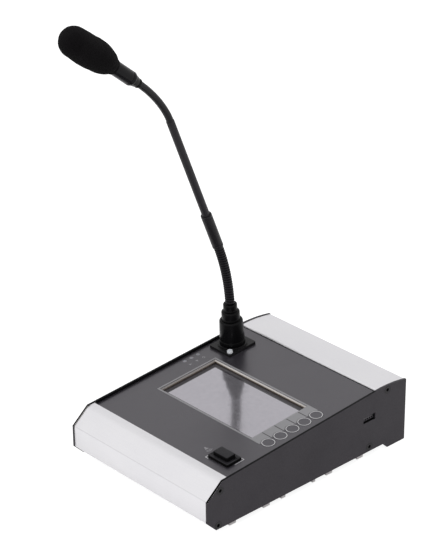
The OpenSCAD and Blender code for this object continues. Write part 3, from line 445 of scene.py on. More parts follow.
# %% Small finishes
bright_zinc = finish(
    "bright zinc", (248, 250, 253), (232, 235, 240), 1800, (0.3, 0.4), 0.006, Metallic=0.3)
bare_steel = finish(
    "bare steel", (190, 190, 194), (160, 160, 165), 1800, (0.28, 0.4), 0.005, lines=1800, Metallic=1.0)
jack_tin = finish(
    "tinned jack", (205, 204, 202), (176, 175, 174), 1500, (0.25, 0.38), 0.005, lines=1800, Metallic=1.0)
contact_gold = finish("gold contact", (235, 196, 112), (206, 164, 84), 1500, (0.18, 0.28), Metallic=1.0)
board_lacquer = finish("green board lacquer", (30, 92, 58), (22, 74, 46), 420, (0.25, 0.4), 0.03, cells=700)
back_light = finish("white back light", (232, 232, 228), (222, 222, 218), 600, (0.5, 0.6))
pad_rubber = finish("pale rubber", (236, 231, 232), (226, 221, 222), 1600, (0.6, 0.75), 0.03, cells=1800)
print("materials:", len(bpy.data.materials))

# %% [markdown]
# Solids whose shape is already right keep their own mesh and only change their finish. Most are inside
# the case, but they show in the window, in the sockets and whenever the part is taken apart.

# %% Finishes on the solids that stay
STAYS = {
    "overlay": foil_grey, "lcd_bezel": bezel_tin, "lcd_backlight": back_light,
    "main_board": board_lacquer, "key_board": board_lacquer, "board_spacers": bare_steel,
    "key_switches": inner_black, "talk_switch": inner_black, "rear_crossbar": bare_steel,
    "socket_insert": inner_black, "socket_contacts": contact_gold, "plug_insert": inner_black,
    "plug_pins": contact_gold, "mic_capsule": bare_steel}

for node, material in STAYS.items():
    mesh = frame["nodes"][node].data
    mesh.materials.clear()
    mesh.materials.append(material)
print("kept solids:", len(STAYS))

# %% [markdown]
# The panel slopes a few degrees, and everything on it is easier to draw flat. The talk button slides
# straight into the panel, so its joint gives the panel's normal. Turning by that slope takes a place on
# the flat drawing (x across, y up the slope, z above it) to its place on the object.

# %% Panel coordinates
talk_joint = next(j for j in frame["joints"] if j["name"] == "talk_press")
panel_normal = Vector(talk_joint["axis"])
slope = math.atan2(-panel_normal.y, panel_normal.z)
panel_turn = Matrix.Rotation(slope, 4, "X")


def panel_box(node):
    """Lowest and highest corner of a solid in the panel's own coordinates."""
    back_turn = panel_turn.inverted()
    places = [back_turn @ v.co for v in frame["nodes"][node].data.vertices]
    low = Vector(min(p[k] for p in places) for k in range(3))
    high = Vector(max(p[k] for p in places) for k in range(3))
    return low, high


def to_panel(bm, x=0.0, y=0.0, z=0.0):
    """Lays a flat drawing onto the panel, moved to a place in the panel's coordinates."""
    bmesh.ops.transform(bm, matrix=panel_turn @ Matrix.Translation((x, y, z)), verts=bm.verts)


foil_top = panel_box("overlay")[1].z
print("panel: slopes", round(math.degrees(slope), 2), "degrees, top at", round(foil_top / mm, 2), "mm")

# %% [markdown]
# Every new piece ends the same way: its mesh is cleaned, given its finishes, tied to the body that
# carries it, and set to stand for the solid that it covers. Edges flatter than a limit are shaded smooth,
# so a round side looks round and a crease stays crisp.

# %% Piece maker
MERGE = 0.2e-6


def new_piece(name, bm, slot, *materials, body="base", stands_for=(), crease=35):
    """Turns a bmesh into a finished piece of the object."""
    bmesh.ops.remove_doubles(bm, verts=bm.verts, dist=MERGE)
    mesh = bpy.data.meshes.new(name)
    bm.to_mesh(mesh)
    bm.free()
    for material in materials:
        mesh.materials.append(material)
    mesh.shade_smooth()
    mesh.set_sharp_from_angle(angle=math.radians(crease))
    piece = bpy.data.objects.new(name, mesh)
    scene.collection.objects.link(piece)
    if body:
        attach(piece, body)
    if stands_for:
        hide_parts(*stands_for)
    return piece


def pick_finishes(bm, number):
    """Gives each face the finish whose number a test returns, the first one for no."""
    bm.normal_update()
    for face in bm.faces:
        face.material_index = int(number(face))


def even_shading(piece):
    """Lets the large flat faces decide the shading, so that a bevel doesn't spread over them."""
    piece.modifiers.new("even shading", "WEIGHTED_NORMAL").keep_sharp = True


print("piece makers ready")

# %% [markdown]
# No real edge is perfectly sharp, and the thin bright line along it tells the eye that it is metal. So
# these pieces start as a copy of the solid's mesh: loose triangles are merged, flat ones are dissolved
# into whole faces, and the sharp edges are bevelled by a few tenths of a millimetre. Two of the solids
# show on the side plates, and there the rims and holes, which don't look sideways, are painted black:
# painted shade in those recesses.

# %% Pieces with softened edges
WELD = 1e-6
FLAT = math.radians(0.2)
SHARP = math.radians(50)
EDGE_STEPS = 3


def copy_solid(node):
    """A bmesh of a solid, with whole flat faces instead of loose triangles."""
    bm = bmesh.new()
    bm.from_mesh(frame["nodes"][node].data)
    bmesh.ops.remove_doubles(bm, verts=bm.verts, dist=WELD)
    bmesh.ops.dissolve_limit(
        bm, angle_limit=FLAT, verts=bm.verts, edges=bm.edges, use_dissolve_boundaries=False)
    return bm


def bevel(bm, geom, width, segments, affect="EDGES", clamp=True):
    """Rounds some edges or corners. The new faces keep the finish of those beside them."""
    return bmesh.ops.bevel(
        bm, geom=geom, offset=width, affect=affect, segments=segments, profile=0.5, material=-1,
        clamp_overlap=clamp)


def soften(bm, width):
    """Rounds every sharp edge, as a deburred or moulded edge is."""
    edges = [e for e in bm.edges if len(e.link_faces) == 2 and e.calc_face_angle() > SHARP]
    bevel(bm, edges, width, EDGE_STEPS)


def softened_piece(node, bm, width, slot, *materials, number):
    """A piece with softened edges that stands for a solid, with its finishes picked face by face."""
    soften(bm, width)
    pick_finishes(bm, number)
    piece = new_piece("finished_" + node, bm, slot, *materials, stands_for=[node])
    even_shading(piece)
    print(piece.name, len(piece.data.polygons), "faces")


# Solid, slot, finish and width of the softened edge in millimetres
SOFTENED = (
    ("rear_panel", "dark_sheet", sheet_paint, 0.15),
    ("bottom_plate", "dark_sheet", sheet_paint, 0.15),
    ("socket_shell", "socket_black", socket_plastic, 0.3),
    ("socket_screws", "bare_steel", bright_zinc, 0.25),
    ("case_screws", "screw_black", screw_black, 0.45),
    ("foot_pads", "pad_grey", pad_rubber, 0.5),
    ("expansion_header", "inner_black", header_grey, 0.1),
    ("network_socket", "jack_metal", jack_tin, 0.2),
    ("power_socket", "inner_black", inner_black, 0.15))
# Solids whose faces that don't look sideways take the painted shade black in their rims and holes
SHADED_RIMS_AND_HOLES = ("case_screws", "expansion_header")
FACES_ASIDE = 0.97

for node, slot, material, width in SOFTENED:
    softened_piece(
        node, copy_solid(node), width * mm, slot, material, shade_black,
        number=lambda face: node in SHADED_RIMS_AND_HOLES and abs(face.normal.x) < FACES_ASIDE)

# %% [markdown]
# The crease over the upright front is painted a little darker than the flats beside it: painted shade
# where the bend catches less light. Its faces, which look neither straight forward nor along the slant,
# take this painted crease shade. The rear cover's front edge is rolled over by a bevel on that one long
# edge, and what still looks straight forward below the roll is painted black: painted shade in the joint
# between cover and panel.

# %% Silver profiles
PROFILE_EDGE = 0.13 * mm
ROLLED_EDGE = 1.7 * mm
ROLL_STEPS = 6
JOINT_WIDTH = 1 * mm
WHOLE_WIDTH = 0.9
STRAIGHT = 0.995
CREASE_LOOK = (-0.97, -0.7)

# The crease faces take the painted crease shade
softened_piece(
    "front_panel", copy_solid("front_panel"), PROFILE_EDGE, "silver_metal", silver_skin, silver_crease_shade,
    number=lambda face: CREASE_LOOK[0] < face.normal.y < CREASE_LOOK[1] and face.normal.z > 0)

bm = copy_solid("rear_cover")
cover_low, cover_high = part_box("rear_cover")
across_front = [
    e for e in bm.edges
    if abs(e.verts[0].co.x - e.verts[1].co.x) > WHOLE_WIDTH * (cover_high.x - cover_low.x)
    and max(v.co.y for v in e.verts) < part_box("overlay")[1].y + JOINT_WIDTH]
bevel(bm, [max(across_front, key=lambda e: e.verts[0].co.z)], ROLLED_EDGE, ROLL_STEPS)
# Faces looking straight forward below the roll take the painted shade black of the joint
softened_piece(
    "rear_cover", bm, PROFILE_EDGE, "silver_metal", silver_skin, shade_black,
    number=lambda face: face.normal.y < -STRAIGHT)

# %% [markdown]
# The side plates are painted. Where they stand above the panel they are painted black: painted shade
# on the inner face and on the rims along the panel and the slanted front. Along the slanted front the
# bevels on both sides of the rim are painted near white: a painted highlight along that edge. That rim
# is the largest face that looks up and forward, and the bevels' faces lie next to its plane and look
# sideways too.

# %% Side plates
RIM_LIMIT = 0.95
PLATE_EDGE = 0.5 * mm
FACE_TILT = 0.25
BRIGHT = 2


def up_and_forward(face):
    """Whether a face looks both up and to the front."""
    return -face.normal.y > FACE_TILT and face.normal.z > FACE_TILT


for node in ("left_side_plate", "right_side_plate"):
    bm = copy_solid(node)
    soften(bm, PLATE_EDGE)
    bm.normal_update()
    outward = 1 if node.startswith("right") else -1
    slanted = max(filter(up_and_forward, bm.faces), key=lambda face: face.calc_area())
    rim_place, rim_normal = slanted.calc_center_median(), slanted.normal.copy()
    rim_ends = [v.co.z for v in slanted.verts]
    for face in bm.faces:
        middle = face.calc_center_median()
        # Painted shade black on the rims along the panel, the slanted front rim and the inner face
        along_panel = face.normal.z > RIM_LIMIT and middle.y < cover_low.y
        in_front = up_and_forward(face) and abs(face.normal.x) < FACE_TILT
        face.material_index = int(along_panel or in_front or outward * face.normal.x < -FACE_TILT)
        # Painted highlight on the bevels on both sides of the slanted rim
        near_rim = abs((middle - rim_place).dot(rim_normal)) < PLATE_EDGE
        beside = near_rim and min(rim_ends) < middle.z < max(rim_ends)
        if beside and FACE_TILT < abs(face.normal.x) < RIM_LIMIT:
            face.material_index = BRIGHT
    plate = new_piece(
        "finished_" + node, bm, "plate_black", plate_paint, shade_black, painted_highlight, stands_for=[node])
    even_shading(plate)
    print(plate.name, sum(p.material_index == BRIGHT for p in plate.data.polygons), "painted highlight faces")

# %% [markdown]
# The cut through the plate under the foil is painted near white where it looks forward: a painted
# highlight. The display behind the window is a slab of glass whose rim is printed dark on the inside, so
# only the middle shows the film. Insetting the slab's top face once gives the rim, and the face that is
# left takes the second finish. Its corners move a little further in at the left and rear, so the dark rim
# is wider there: painted shade along those walls of the window.

# %% Display glass
LOOKS_FORWARD = 0.9
GLASS_UNDER_RIM = 6.8 * mm
GLASS_EDGE = 0.15 * mm
# How much wider the dark rim is at the left and rear, as painted shade
FILM_SHIFT = 1.6 * mm

bm = copy_solid("face_plate")
# Faces of the plate's cut that look forward take the painted highlight
pick_finishes(bm, lambda face: face.normal.y < -LOOKS_FORWARD)
new_piece("finished_face_plate", bm, "face_metal", face_metal, painted_highlight, stands_for=["face_plate"])

glass_low, glass_high = panel_box("lcd_panel")
glass_size, glass_middle = glass_high - glass_low, (glass_low + glass_high) / 2
bm = bmesh.new()
bmesh.ops.create_cube(bm, size=1)
bmesh.ops.scale(bm, vec=glass_size, verts=bm.verts)
bmesh.ops.translate(bm, vec=glass_middle, verts=bm.verts)
film = max(bm.faces, key=lambda face: face.calc_center_median().z)
bmesh.ops.inset_region(bm, faces=[film], thickness=GLASS_UNDER_RIM, use_even_offset=True)
film.material_index = 1
# Painted shade: the dark rim widens at the left and rear
for corner in film.verts:
    if corner.co.x < glass_middle.x:
        corner.co.x += FILM_SHIFT
    if corner.co.y > glass_middle.y:
        corner.co.y -= FILM_SHIFT
soften(bm, GLASS_EDGE)
to_panel(bm)
glass = new_piece("display_glass", bm, "display_glass", display_mask, display_film, stands_for=["lcd_panel"])
print("display:", round(glass_size.x / mm, 1), "mm wide,", len(glass.data.polygons), "faces")

# %% [markdown]
# Ink has a thickness too, even if it is only a few hundredths of a millimetre. Drawing the print as thin
# flat pieces keeps it sharp from any distance, and it needs no picture.

# %% Ink helpers
INK = 0.05 * mm
FULL_TURN = 2 * math.pi


def mark(bm, outline, x=0.0, y=0.0, size=1.0):
    """One flat face of a drawing from its corners, which may be moved and scaled."""
    return bm.faces.new([bm.verts.new((x + size * a, y + size * b, 0)) for a, b in outline])


def bar(bm, x0, y0, x1, y1):
    """A flat rectangle between two corners."""
    return mark(bm, ((x0, y0), (x1, y0), (x1, y1), (x0, y1)))


def ring(bm, x, y, outer, inner, start=0.0, angle=FULL_TURN, steps=48):
    """A flat ring, or a part of one, spun from its cross-section."""
    ends = [bm.verts.new((x + r * math.cos(start), y + r * math.sin(start), 0)) for r in (inner, outer)]
    bmesh.ops.spin(
        bm, geom=[*ends, bm.edges.new(ends)], cent=(x, y, 0), axis=(0, 0, 1), angle=angle, steps=steps,
        use_merge=angle == FULL_TURN)


def print_ink(name, bm, material, coats=1):
    """Gives a flat drawing the thickness of ink and lays it on the foil."""
    bmesh.ops.remove_doubles(bm, verts=bm.verts, dist=MERGE)
    bmesh.ops.recalc_face_normals(bm, faces=bm.faces)
    bmesh.ops.solidify(bm, geom=bm.faces[:], thickness=INK * coats)
    to_panel(bm, z=foil_top - min(v.co.z for v in bm.verts))
    return new_piece(name, bm, "overlay_grey", material)


print("one coat of ink is", INK / mm, "mm")

# %% [markdown]
# A grey border frames the window and widens at the right into a strip, where a label for each key can go.
# The strip makes way for the keys, so it has a round bite at each of them, drawn from the keys' own
# places. Four short dark rules part the labels.

# %% Window border and label strip
BORDER = 1.8 * mm
WINDOW_IN_GLASS = 2.8 * mm
STRIP_WIDTH = 10.7 * mm
KEY_RADIUS = 5.8 * mm
BITE = KEY_RADIUS + 0.45 * mm
BITE_STEPS = 12
RULE_WIDTH = 0.8 * mm
RULE_START, RULE_END = 0.6 * mm, STRIP_WIDTH - 0.4 * mm
KEYS = ["key_1", "key_2", "key_3", "key_4", "key_5"]


def panel_middle(node):
    """The middle of a solid on the flat drawing of the panel."""
    low, high = panel_box(node)
    return (low + high) / 2


window_low = glass_low + Vector((WINDOW_IN_GLASS, WINDOW_IN_GLASS, 0))
window_high = glass_high - Vector((WINDOW_IN_GLASS, WINDOW_IN_GLASS, 0))
key_middles = [panel_middle(key) for key in KEYS]
strip_edge = window_high.x + STRIP_WIDTH
border_front, border_rear = window_low.y - BORDER, window_high.y + BORDER

bm = bmesh.new()
bar(bm, window_low.x - BORDER, border_front, window_low.x, border_rear)
bar(bm, window_low.x, border_front, window_high.x, window_low.y)
bar(bm, window_low.x, window_high.y, window_high.x, border_rear)
half_bite = math.acos((key_middles[0].x - strip_edge) / BITE)
strip = [(window_high.x, border_front), (strip_edge, border_front)]
for middle in key_middles:
    for k in range(BITE_STEPS + 1):
        a = math.pi + half_bite * (1 - 2 * k / BITE_STEPS)
        strip.append((middle.x + BITE * math.cos(a), middle.y + BITE * math.sin(a)))
mark(bm, [*strip, (strip_edge, border_rear), (window_high.x, border_rear)])
print_ink("printed_window_border", bm, ink_grey)

bm = bmesh.new()
for first, second in zip(key_middles, key_middles[1:]):
    y = (first.y + second.y) / 2
    bar(bm, window_high.x + RULE_START, y - RULE_WIDTH / 2, window_high.x + RULE_END, y + RULE_WIDTH / 2)
print_ink("printed_label_rules", bm, ink_dark, coats=2)
print("label strip:", round(STRIP_WIDTH / mm, 1), "mm wide,", len(KEYS), "bites")

# %% [markdown]
# Two pale corner brackets mark the talk button, a faint loudspeaker stands beside it, and plain signs
# stand beside the three lights: two triangles and a ring. Each is a list of corners in its own units, put
# in its place and scaled when it is drawn.

# %% Brackets and small signs
BRACKET_MARGIN = 1.55 * mm
LONG, SHORT, STROKE = 10.2 * mm, 3.3 * mm, 0.6 * mm
BRACKET = (
    (0, 0), (-SHORT, 0), (-SHORT, -STROKE), (-STROKE, -STROKE), (-STROKE, -LONG), (0, -LONG))
SPEAKER = 2.1 * mm
SPEAKER_GAP = 8.6 * mm
SPEAKER_DROP = 0.4 * mm
SPEAKER_BOX = ((-0.8, -0.4), (0, -0.4), (0, 0.4), (-0.8, 0.4))
SPEAKER_HORN = ((0, -0.4), (0.8, -1), (0.8, 1), (0, 0.4))
WAVES, WAVE_STROKE, WAVE_SHIFT, WAVE_ANGLE = (1.4, 2.1), 0.3, 0.2, 1.4
SIGN_SIZE = 1.9 * mm
SIGN_GAP = 7.3 * mm
TRIANGLES = (((-0.7, -0.6), (0.7, -0.6), (0, 0.8)), ((-0.6, 0.7), (-0.6, -0.7), (0.8, 0)))
SIGN_RING = (0.75 * SIGN_SIZE, 0.45 * SIGN_SIZE)
LIGHT_COUNT = 3

button_middle = panel_middle("talk_button")
talk_low, talk_high = panel_box("talk_frame")
talk_size = talk_high - talk_low
corner_x, corner_y = talk_size.x / 2 + BRACKET_MARGIN, talk_size.y / 2 + BRACKET_MARGIN
bm = bmesh.new()
for side in (-1, 1):
    mark(bm, BRACKET, button_middle.x + side * corner_x, button_middle.y + side * corner_y, side)
print_ink("printed_talk_brackets", bm, ink_pale)

bm = bmesh.new()
x, y = button_middle.x - corner_x - SPEAKER_GAP, button_middle.y - SPEAKER_DROP
for shape in (SPEAKER_BOX, SPEAKER_HORN):
    mark(bm, shape, x, y, SPEAKER)
for wave in WAVES:
    ring(bm, x + WAVE_SHIFT * SPEAKER, y, (wave + WAVE_STROKE) * SPEAKER, wave * SPEAKER,
         start=-WAVE_ANGLE / 2, angle=WAVE_ANGLE, steps=10)
lights_low, lights_high = panel_box("status_lights")
light_x, light_size = (lights_low.x + lights_high.x) / 2, lights_high.x - lights_low.x
light_step = (lights_high.y - lights_low.y - light_size) / (LIGHT_COUNT - 1)
light_rows = [lights_low.y + light_size / 2 + k * light_step for k in range(LIGHT_COUNT)]
for shape, row in zip(TRIANGLES, light_rows):
    mark(bm, shape, light_x + SIGN_GAP, row, SIGN_SIZE)
ring(bm, light_x + SIGN_GAP, light_rows[-1], *SIGN_RING, steps=24)
print_ink("printed_signs", bm, ink_faint)
print("signs printed beside", LIGHT_COUNT, "lights")

# %% [markdown]
# Round parts are turned: half of the cross-section is drawn once and spun round the axis. A vertex bevel
# on a corner of that drawing, before the spin, gives a round edge all the way about, so the profile only
# lists its corners and how much each is rounded.

# %% Turning helper
CORNER_STEPS = 4


def turned(profile, steps=72):
    """A body of revolution about z from corners of (radius, height, rounding)."""
    bm = bmesh.new()
    corners = [bm.verts.new((r, 0, z)) for r, z, _ in profile]
    for pair in zip(corners, corners[1:]):
        bm.edges.new(pair)
    for corner, (_, _, rounding) in zip(corners, profile):
        if rounding:
            bevel(bm, [corner], rounding, CORNER_STEPS, affect="VERTICES")
    bmesh.ops.spin(
        bm, geom=bm.verts[:] + bm.edges[:], cent=(0, 0, 0), axis=(0, 0, 1), angle=FULL_TURN, steps=steps,
        use_merge=True)
    bmesh.ops.remove_doubles(bm, verts=bm.verts, dist=MERGE)
    bmesh.ops.recalc_face_normals(bm, faces=bm.faces)
    return bm


def add_to(bm, other):
    """Moves what another drawing holds into this one."""
    carrier = bpy.data.meshes.new("carrier")
    other.to_mesh(carrier)
    other.free()
    bm.from_mesh(carrier)
    bpy.data.meshes.remove(carrier)


print("turning helper ready")

# %% [markdown]
# The soft keys lie almost flush in the foil, each a low dome with a pale printed ring round its rim. One
# turned profile holds the stem, the flange that keeps the key in, and the dome, and the faces between two
# radii take the ink of the ring.

# %% Soft keys
KEY_RING = (5.0 * mm, 5.62 * mm)
KEY_HOLLOW = (4.8 * mm, 2.4 * mm)
KEY_DOME = 0.12 * mm
KEY_EDGE = 0.12 * mm
KEY_STEM = 1.7 * mm
KEY_FLANGE = 1.1 * mm
KEY_FLANGE_DOWN = 3.0 * mm

flange_low, flange_high = panel_box("key_1")
key_top, flange_radius = flange_high.z, (flange_high.x - flange_low.x) / 2
under = key_top - KEY_FLANGE_DOWN


def in_ring(face):
    """Whether a face of a key lies on its printed ring."""
    middle = face.calc_center_median()
    return (KEY_RING[0] < math.hypot(middle.x, middle.y) < KEY_RING[1]
            and middle.z > key_top - KEY_DOME / 8)


for number, (node, middle) in enumerate(zip(KEYS, key_middles), 1):
    low = panel_box(node)[0].z
    bm = turned([
        (0, low, 0), (KEY_STEM, low, 0), (KEY_STEM, under - KEY_FLANGE, 0),
        (flange_radius, under - KEY_FLANGE, 0), (flange_radius, under, 0), (KEY_RADIUS, under, 0),
        (KEY_RADIUS, key_top - KEY_DOME / 2, KEY_EDGE), (KEY_RING[1], key_top, 0), (KEY_RING[0], key_top, 0),
        (KEY_HOLLOW[0], key_top - KEY_DOME / 2, 0), (KEY_HOLLOW[1], key_top - KEY_DOME / 4, 0),
        (0, key_top, 0)])
    pick_finishes(bm, in_ring)
    to_panel(bm, middle.x, middle.y)
    name = f"soft_key_{number}"
    new_piece(name, bm, "key_grey", key_foil, ink_pale, body=name, stands_for=[node])
print("soft keys:", len(KEYS))

# %% [markdown]
# The talk button and its frame are moulded boxes with round corners. A rounded rectangle is a face whose
# four corners are bevelled, and a stack of such rectangles, bridged one to the next, makes a box with
# steps.

# %% Rounded boxes
def rectangle(bm, middle, size, z, corner):
    """The edges of a rounded rectangle at a level, made from a face that is then taken away."""
    half_x, half_y = size[0] / 2, size[1] / 2
    face = bm.faces.new([
        bm.verts.new((middle.x + a * half_x, middle.y + b * half_y, z))
        for a, b in ((-1, -1), (1, -1), (1, 1), (-1, 1))])
    made = bevel(bm, face.verts[:], corner, CORNER_STEPS, affect="VERTICES", clamp=False)
    whole = next(f for f in bm.faces if f.is_valid and made["verts"][0] in f.verts)
    edges = whole.edges[:]
    bmesh.ops.delete(bm, geom=[whole], context="FACES_ONLY")
    return edges


def stacked(middle, levels, closed=False):
    """A box from rounded rectangles of (size, level, corner), bridged one to the next."""
    bm = bmesh.new()
    loops = [rectangle(bm, middle, *level) for level in levels]
    for first, second in zip(loops, loops[1:] + (loops[:1] if closed else [])):
        bmesh.ops.bridge_loops(bm, edges=first + second)
    if not closed:
        for loop in (loops[0], loops[-1]):
            bmesh.ops.contextual_create(bm, geom=loop)
    bmesh.ops.recalc_face_normals(bm, faces=bm.faces)
    return bm


def shrunk(size, inset):
    """A rectangle's size after an inset on every side."""
    return size[0] - 2 * inset, size[1] - 2 * inset


print("a rounded corner has", CORNER_STEPS, "steps")

# %% [markdown]
# The frame's stack runs up its outside and down its inside, so it closes on itself and leaves a well for
# the button. The top is textured, and the sides take a much darker black: painted shade, because the top
# catches the light and the sides don't.

# %% Talk button's frame
CAP_SIZE = (16.2 * mm, 9.6 * mm)
CAP_PLAY = 0.3 * mm
CORNER, MOUTH_CORNER, INNER_CORNER = 1 * mm, 0.8 * mm, 0.25 * mm
FLANGE_OUT = 0.8 * mm
LIP_THICK = 1.0 * mm
BODY_WALL = 1.0 * mm
FRAME_ROUND, MOUTH_ROUND = 0.5 * mm, 0.2 * mm
SHOULDER = 0.3 * FRAME_ROUND
LOOKS_UP = 0.7


def on_side(face):
    """Whether a face doesn't look up."""
    return face.normal.z < LOOKS_UP


frame_size = (talk_size.x, talk_size.y)
body_size = shrunk(CAP_SIZE, -(FLANGE_OUT + 2 * CAP_PLAY + BODY_WALL))
well_size = shrunk(body_size, BODY_WALL)
mouth_size = shrunk(CAP_SIZE, -CAP_PLAY)
lip_under = foil_top - LIP_THICK
bm = stacked(button_middle, [
    (frame_size, foil_top, CORNER), (frame_size, talk_high.z - FRAME_ROUND, CORNER),
    (shrunk(frame_size, SHOULDER), talk_high.z - SHOULDER, CORNER),
    (shrunk(frame_size, FRAME_ROUND), talk_high.z, MOUTH_CORNER),
    (shrunk(mouth_size, -MOUTH_ROUND), talk_high.z, MOUTH_CORNER),
    (mouth_size, talk_high.z - MOUTH_ROUND, MOUTH_CORNER), (mouth_size, lip_under, MOUTH_CORNER),
    (well_size, lip_under, INNER_CORNER), (well_size, talk_low.z, INNER_CORNER),
    (body_size, talk_low.z, INNER_CORNER), (body_size, foil_top, INNER_CORNER)], closed=True)
to_panel(bm)
# The frame's sides take the painted side shade
pick_finishes(bm, on_side)
talk_frame = new_piece(
    "talk_button_frame", bm, "button_black", button_plastic, button_side_shade, stands_for=["talk_frame"])
even_shading(talk_frame)
print("talk frame:", [round(side / mm, 1) for side in frame_size], "mm")

# %% [markdown]
# The cap's stack starts with the flange that keeps it in the frame, rounds its shoulder, and ends in a
# few shrinking rectangles that rise a little: that is the crown under the thumb. A round stem reaches
# down to the switch. The spring about it is squeezed to what the travel leaves of its length.

# %% Talk button and spring
CAP_ROUND = 0.7 * mm
CROWN_RISE = 0.12 * mm
CROWN_INSETS = (1.4 * mm, 2.6 * mm, 3.8 * mm)
CROWN_CORNER = 0.6 * mm
FLANGE_THICK = 1.5 * mm
STEM_RADIUS, STEM_ROUND = 1.5 * mm, 0.2 * mm

cap_low, cap_high = panel_box("talk_button")
flange_top = lip_under - CAP_PLAY
flange_under = flange_top - FLANGE_THICK
flange_size = shrunk(CAP_SIZE, -FLANGE_OUT)
cap_levels = [
    (flange_size, flange_under, INNER_CORNER), (flange_size, flange_top, INNER_CORNER),
    (CAP_SIZE, flange_top, CORNER)]
crown_foot = cap_high.z - CROWN_RISE
for k in range(CORNER_STEPS + 1):
    a = math.pi / 2 * k / CORNER_STEPS
    size = shrunk(CAP_SIZE, CAP_ROUND * (1 - math.cos(a)))
    cap_levels.append((size, crown_foot - CAP_ROUND * (1 - math.sin(a)), CORNER))
for k, inset in enumerate(CROWN_INSETS, 1):
    rise = CROWN_RISE * (1 - (1 - k / len(CROWN_INSETS)) ** 2)
    cap_levels.append((shrunk(CAP_SIZE, inset), crown_foot + rise, CROWN_CORNER))
bm = stacked(button_middle, cap_levels)
to_panel(bm)
stem = turned([
    (0, cap_low.z, 0), (STEM_RADIUS, cap_low.z, STEM_ROUND), (STEM_RADIUS, flange_under, 0),
    (0, flange_under, 0)], steps=32)
to_panel(stem, button_middle.x, button_middle.y)
add_to(bm, stem)
# The cap's sides take the painted side shade
pick_finishes(bm, on_side)
new_piece(
    "talk_cap", bm, "button_black", button_plastic, button_side_shade, body="talk_button",
    stands_for=["talk_button"])

spring = new_piece(
    "talk_return_spring", copy_solid("talk_spring"), "bare_steel", bare_steel, stands_for=["talk_spring"])
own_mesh(spring)

# %% [markdown]
# Three small windows of smoky plastic let the status lights through. Each is a turned plug with a flat
# dome, and the three stay together in one piece.

# %% Status lights
LENS_RADIUS = 1.8 * mm
LENS_RISE = 0.12 * mm
LENS_EDGE = 0.1 * mm
# A point on the dome, as shares of its radius and its rise
LENS_DOME = (0.6, 0.7)
BASE_HIGH, BASE_EDGE = 4 * mm, 0.2 * mm

lights = bmesh.new()
for row in light_rows:
    bm = turned([
        (0, lights_low.z, 0), (light_size / 2, lights_low.z, BASE_EDGE),
        (light_size / 2, lights_low.z + BASE_HIGH, BASE_EDGE), (LENS_RADIUS, lights_low.z + BASE_HIGH, 0),
        (LENS_RADIUS, foil_top, LENS_EDGE),
        (LENS_DOME[0] * LENS_RADIUS, foil_top + LENS_DOME[1] * LENS_RISE, 0),
        (0, foil_top + LENS_RISE, 0)], steps=32)
    to_panel(bm, light_x, row)
    add_to(lights, bm)
new_piece("status_light_windows", lights, "light_smoke", light_smoke, stands_for=["status_lights"])
print("status lights:", len(light_rows))

# %% [markdown]
# The microphone plugs into the panel with a round metal connector: a shell that enters the socket, a
# barrel that tapers to a round shoulder, and two sleeves that step down to the neck. Thin grooves show
# where the parts screw together. All are turned on the socket's axis, from the sizes of their solids.

# %% Plug
GROOVE, GROOVE_ROUND = 0.35 * mm, 0.08 * mm
SHELL_RADIUS, SHELL_BORE, SHELL_ROUND = 7.9 * mm, 6.3 * mm, 0.4 * mm
BARREL_RISE, BARREL_ROUND, BARREL_BAND = 2.5 * mm, 0.5 * mm, 5 * mm
BARREL_TOP, TOP_ROUND, TOP_THICK = 10.2 * mm, 1.6 * mm, 6 * mm
TOP_BORE, TOP_SINK = 5.5 * mm, 0.5 * mm
BOOT_BORE, BOOT_ROUND = 3 * mm, 1.5 * mm
FERRULE_ROUND, FERRULE_SINK = 1.3 * mm, 0.4 * mm
FERRULE_MOUTH = (4.7 * mm, 4.4 * mm)
MOUTH_GAP = (0.35 * mm, 0.1 * mm)
MOUTH_EDGE = 0.2 * mm
SEAM_UP = 1.4 * mm
NECK_BORE = 1.3 * mm

plug_middle = panel_middle("plug_shell")


def sleeve_size(node):
    """Lowest and highest level of a round solid on the panel, and its radius."""
    low, high = panel_box(node)
    return low.z, high.z, (high.x - low.x) / 2


def on_plug(name, profile, node):
    """A turned piece on the plug's axis."""
    bm = turned(profile, steps=96)
    to_panel(bm, plug_middle.x, plug_middle.y)
    return new_piece(name, bm, "plug_black", plug_enamel, body="plug", stands_for=[node])


def grooved(radius, height):
    """Three corners of a thin groove round a sleeve."""
    return [
        (radius, height - GROOVE, GROOVE_ROUND), (radius - GROOVE, height, GROOVE_ROUND),
        (radius, height + GROOVE, GROOVE_ROUND)]


barrel_foot = foil_top + BARREL_RISE
low, top, barrel = sleeve_size("plug_shell")
boot_low, boot_top, boot = sleeve_size("plug_boot")
on_plug("plug_barrel", [
    (SHELL_BORE, low, 0), (SHELL_RADIUS, low, SHELL_ROUND), (SHELL_RADIUS, barrel_foot, 0),
    (barrel, barrel_foot, BARREL_ROUND), *grooved(barrel, barrel_foot + BARREL_BAND),
    (BARREL_TOP, top, TOP_ROUND), (boot + MOUTH_GAP[0], top, MOUTH_EDGE),
    (boot + MOUTH_GAP[1], top - TOP_SINK, 0), (TOP_BORE, top - TOP_SINK, 0), (TOP_BORE, top - TOP_THICK, 0),
    (SHELL_BORE, top - TOP_THICK, 0), (SHELL_BORE, low, 0)], "plug_shell")
on_plug("plug_middle_sleeve", [
    (BOOT_BORE, boot_low, 0), (boot, boot_low, 0), *grooved(boot, boot_low + SEAM_UP),
    (boot, boot_top, BOOT_ROUND), (BOOT_BORE, boot_top, 0), (BOOT_BORE, boot_low, 0)], "plug_boot")
low, top, ferrule = sleeve_size("plug_ferrule")
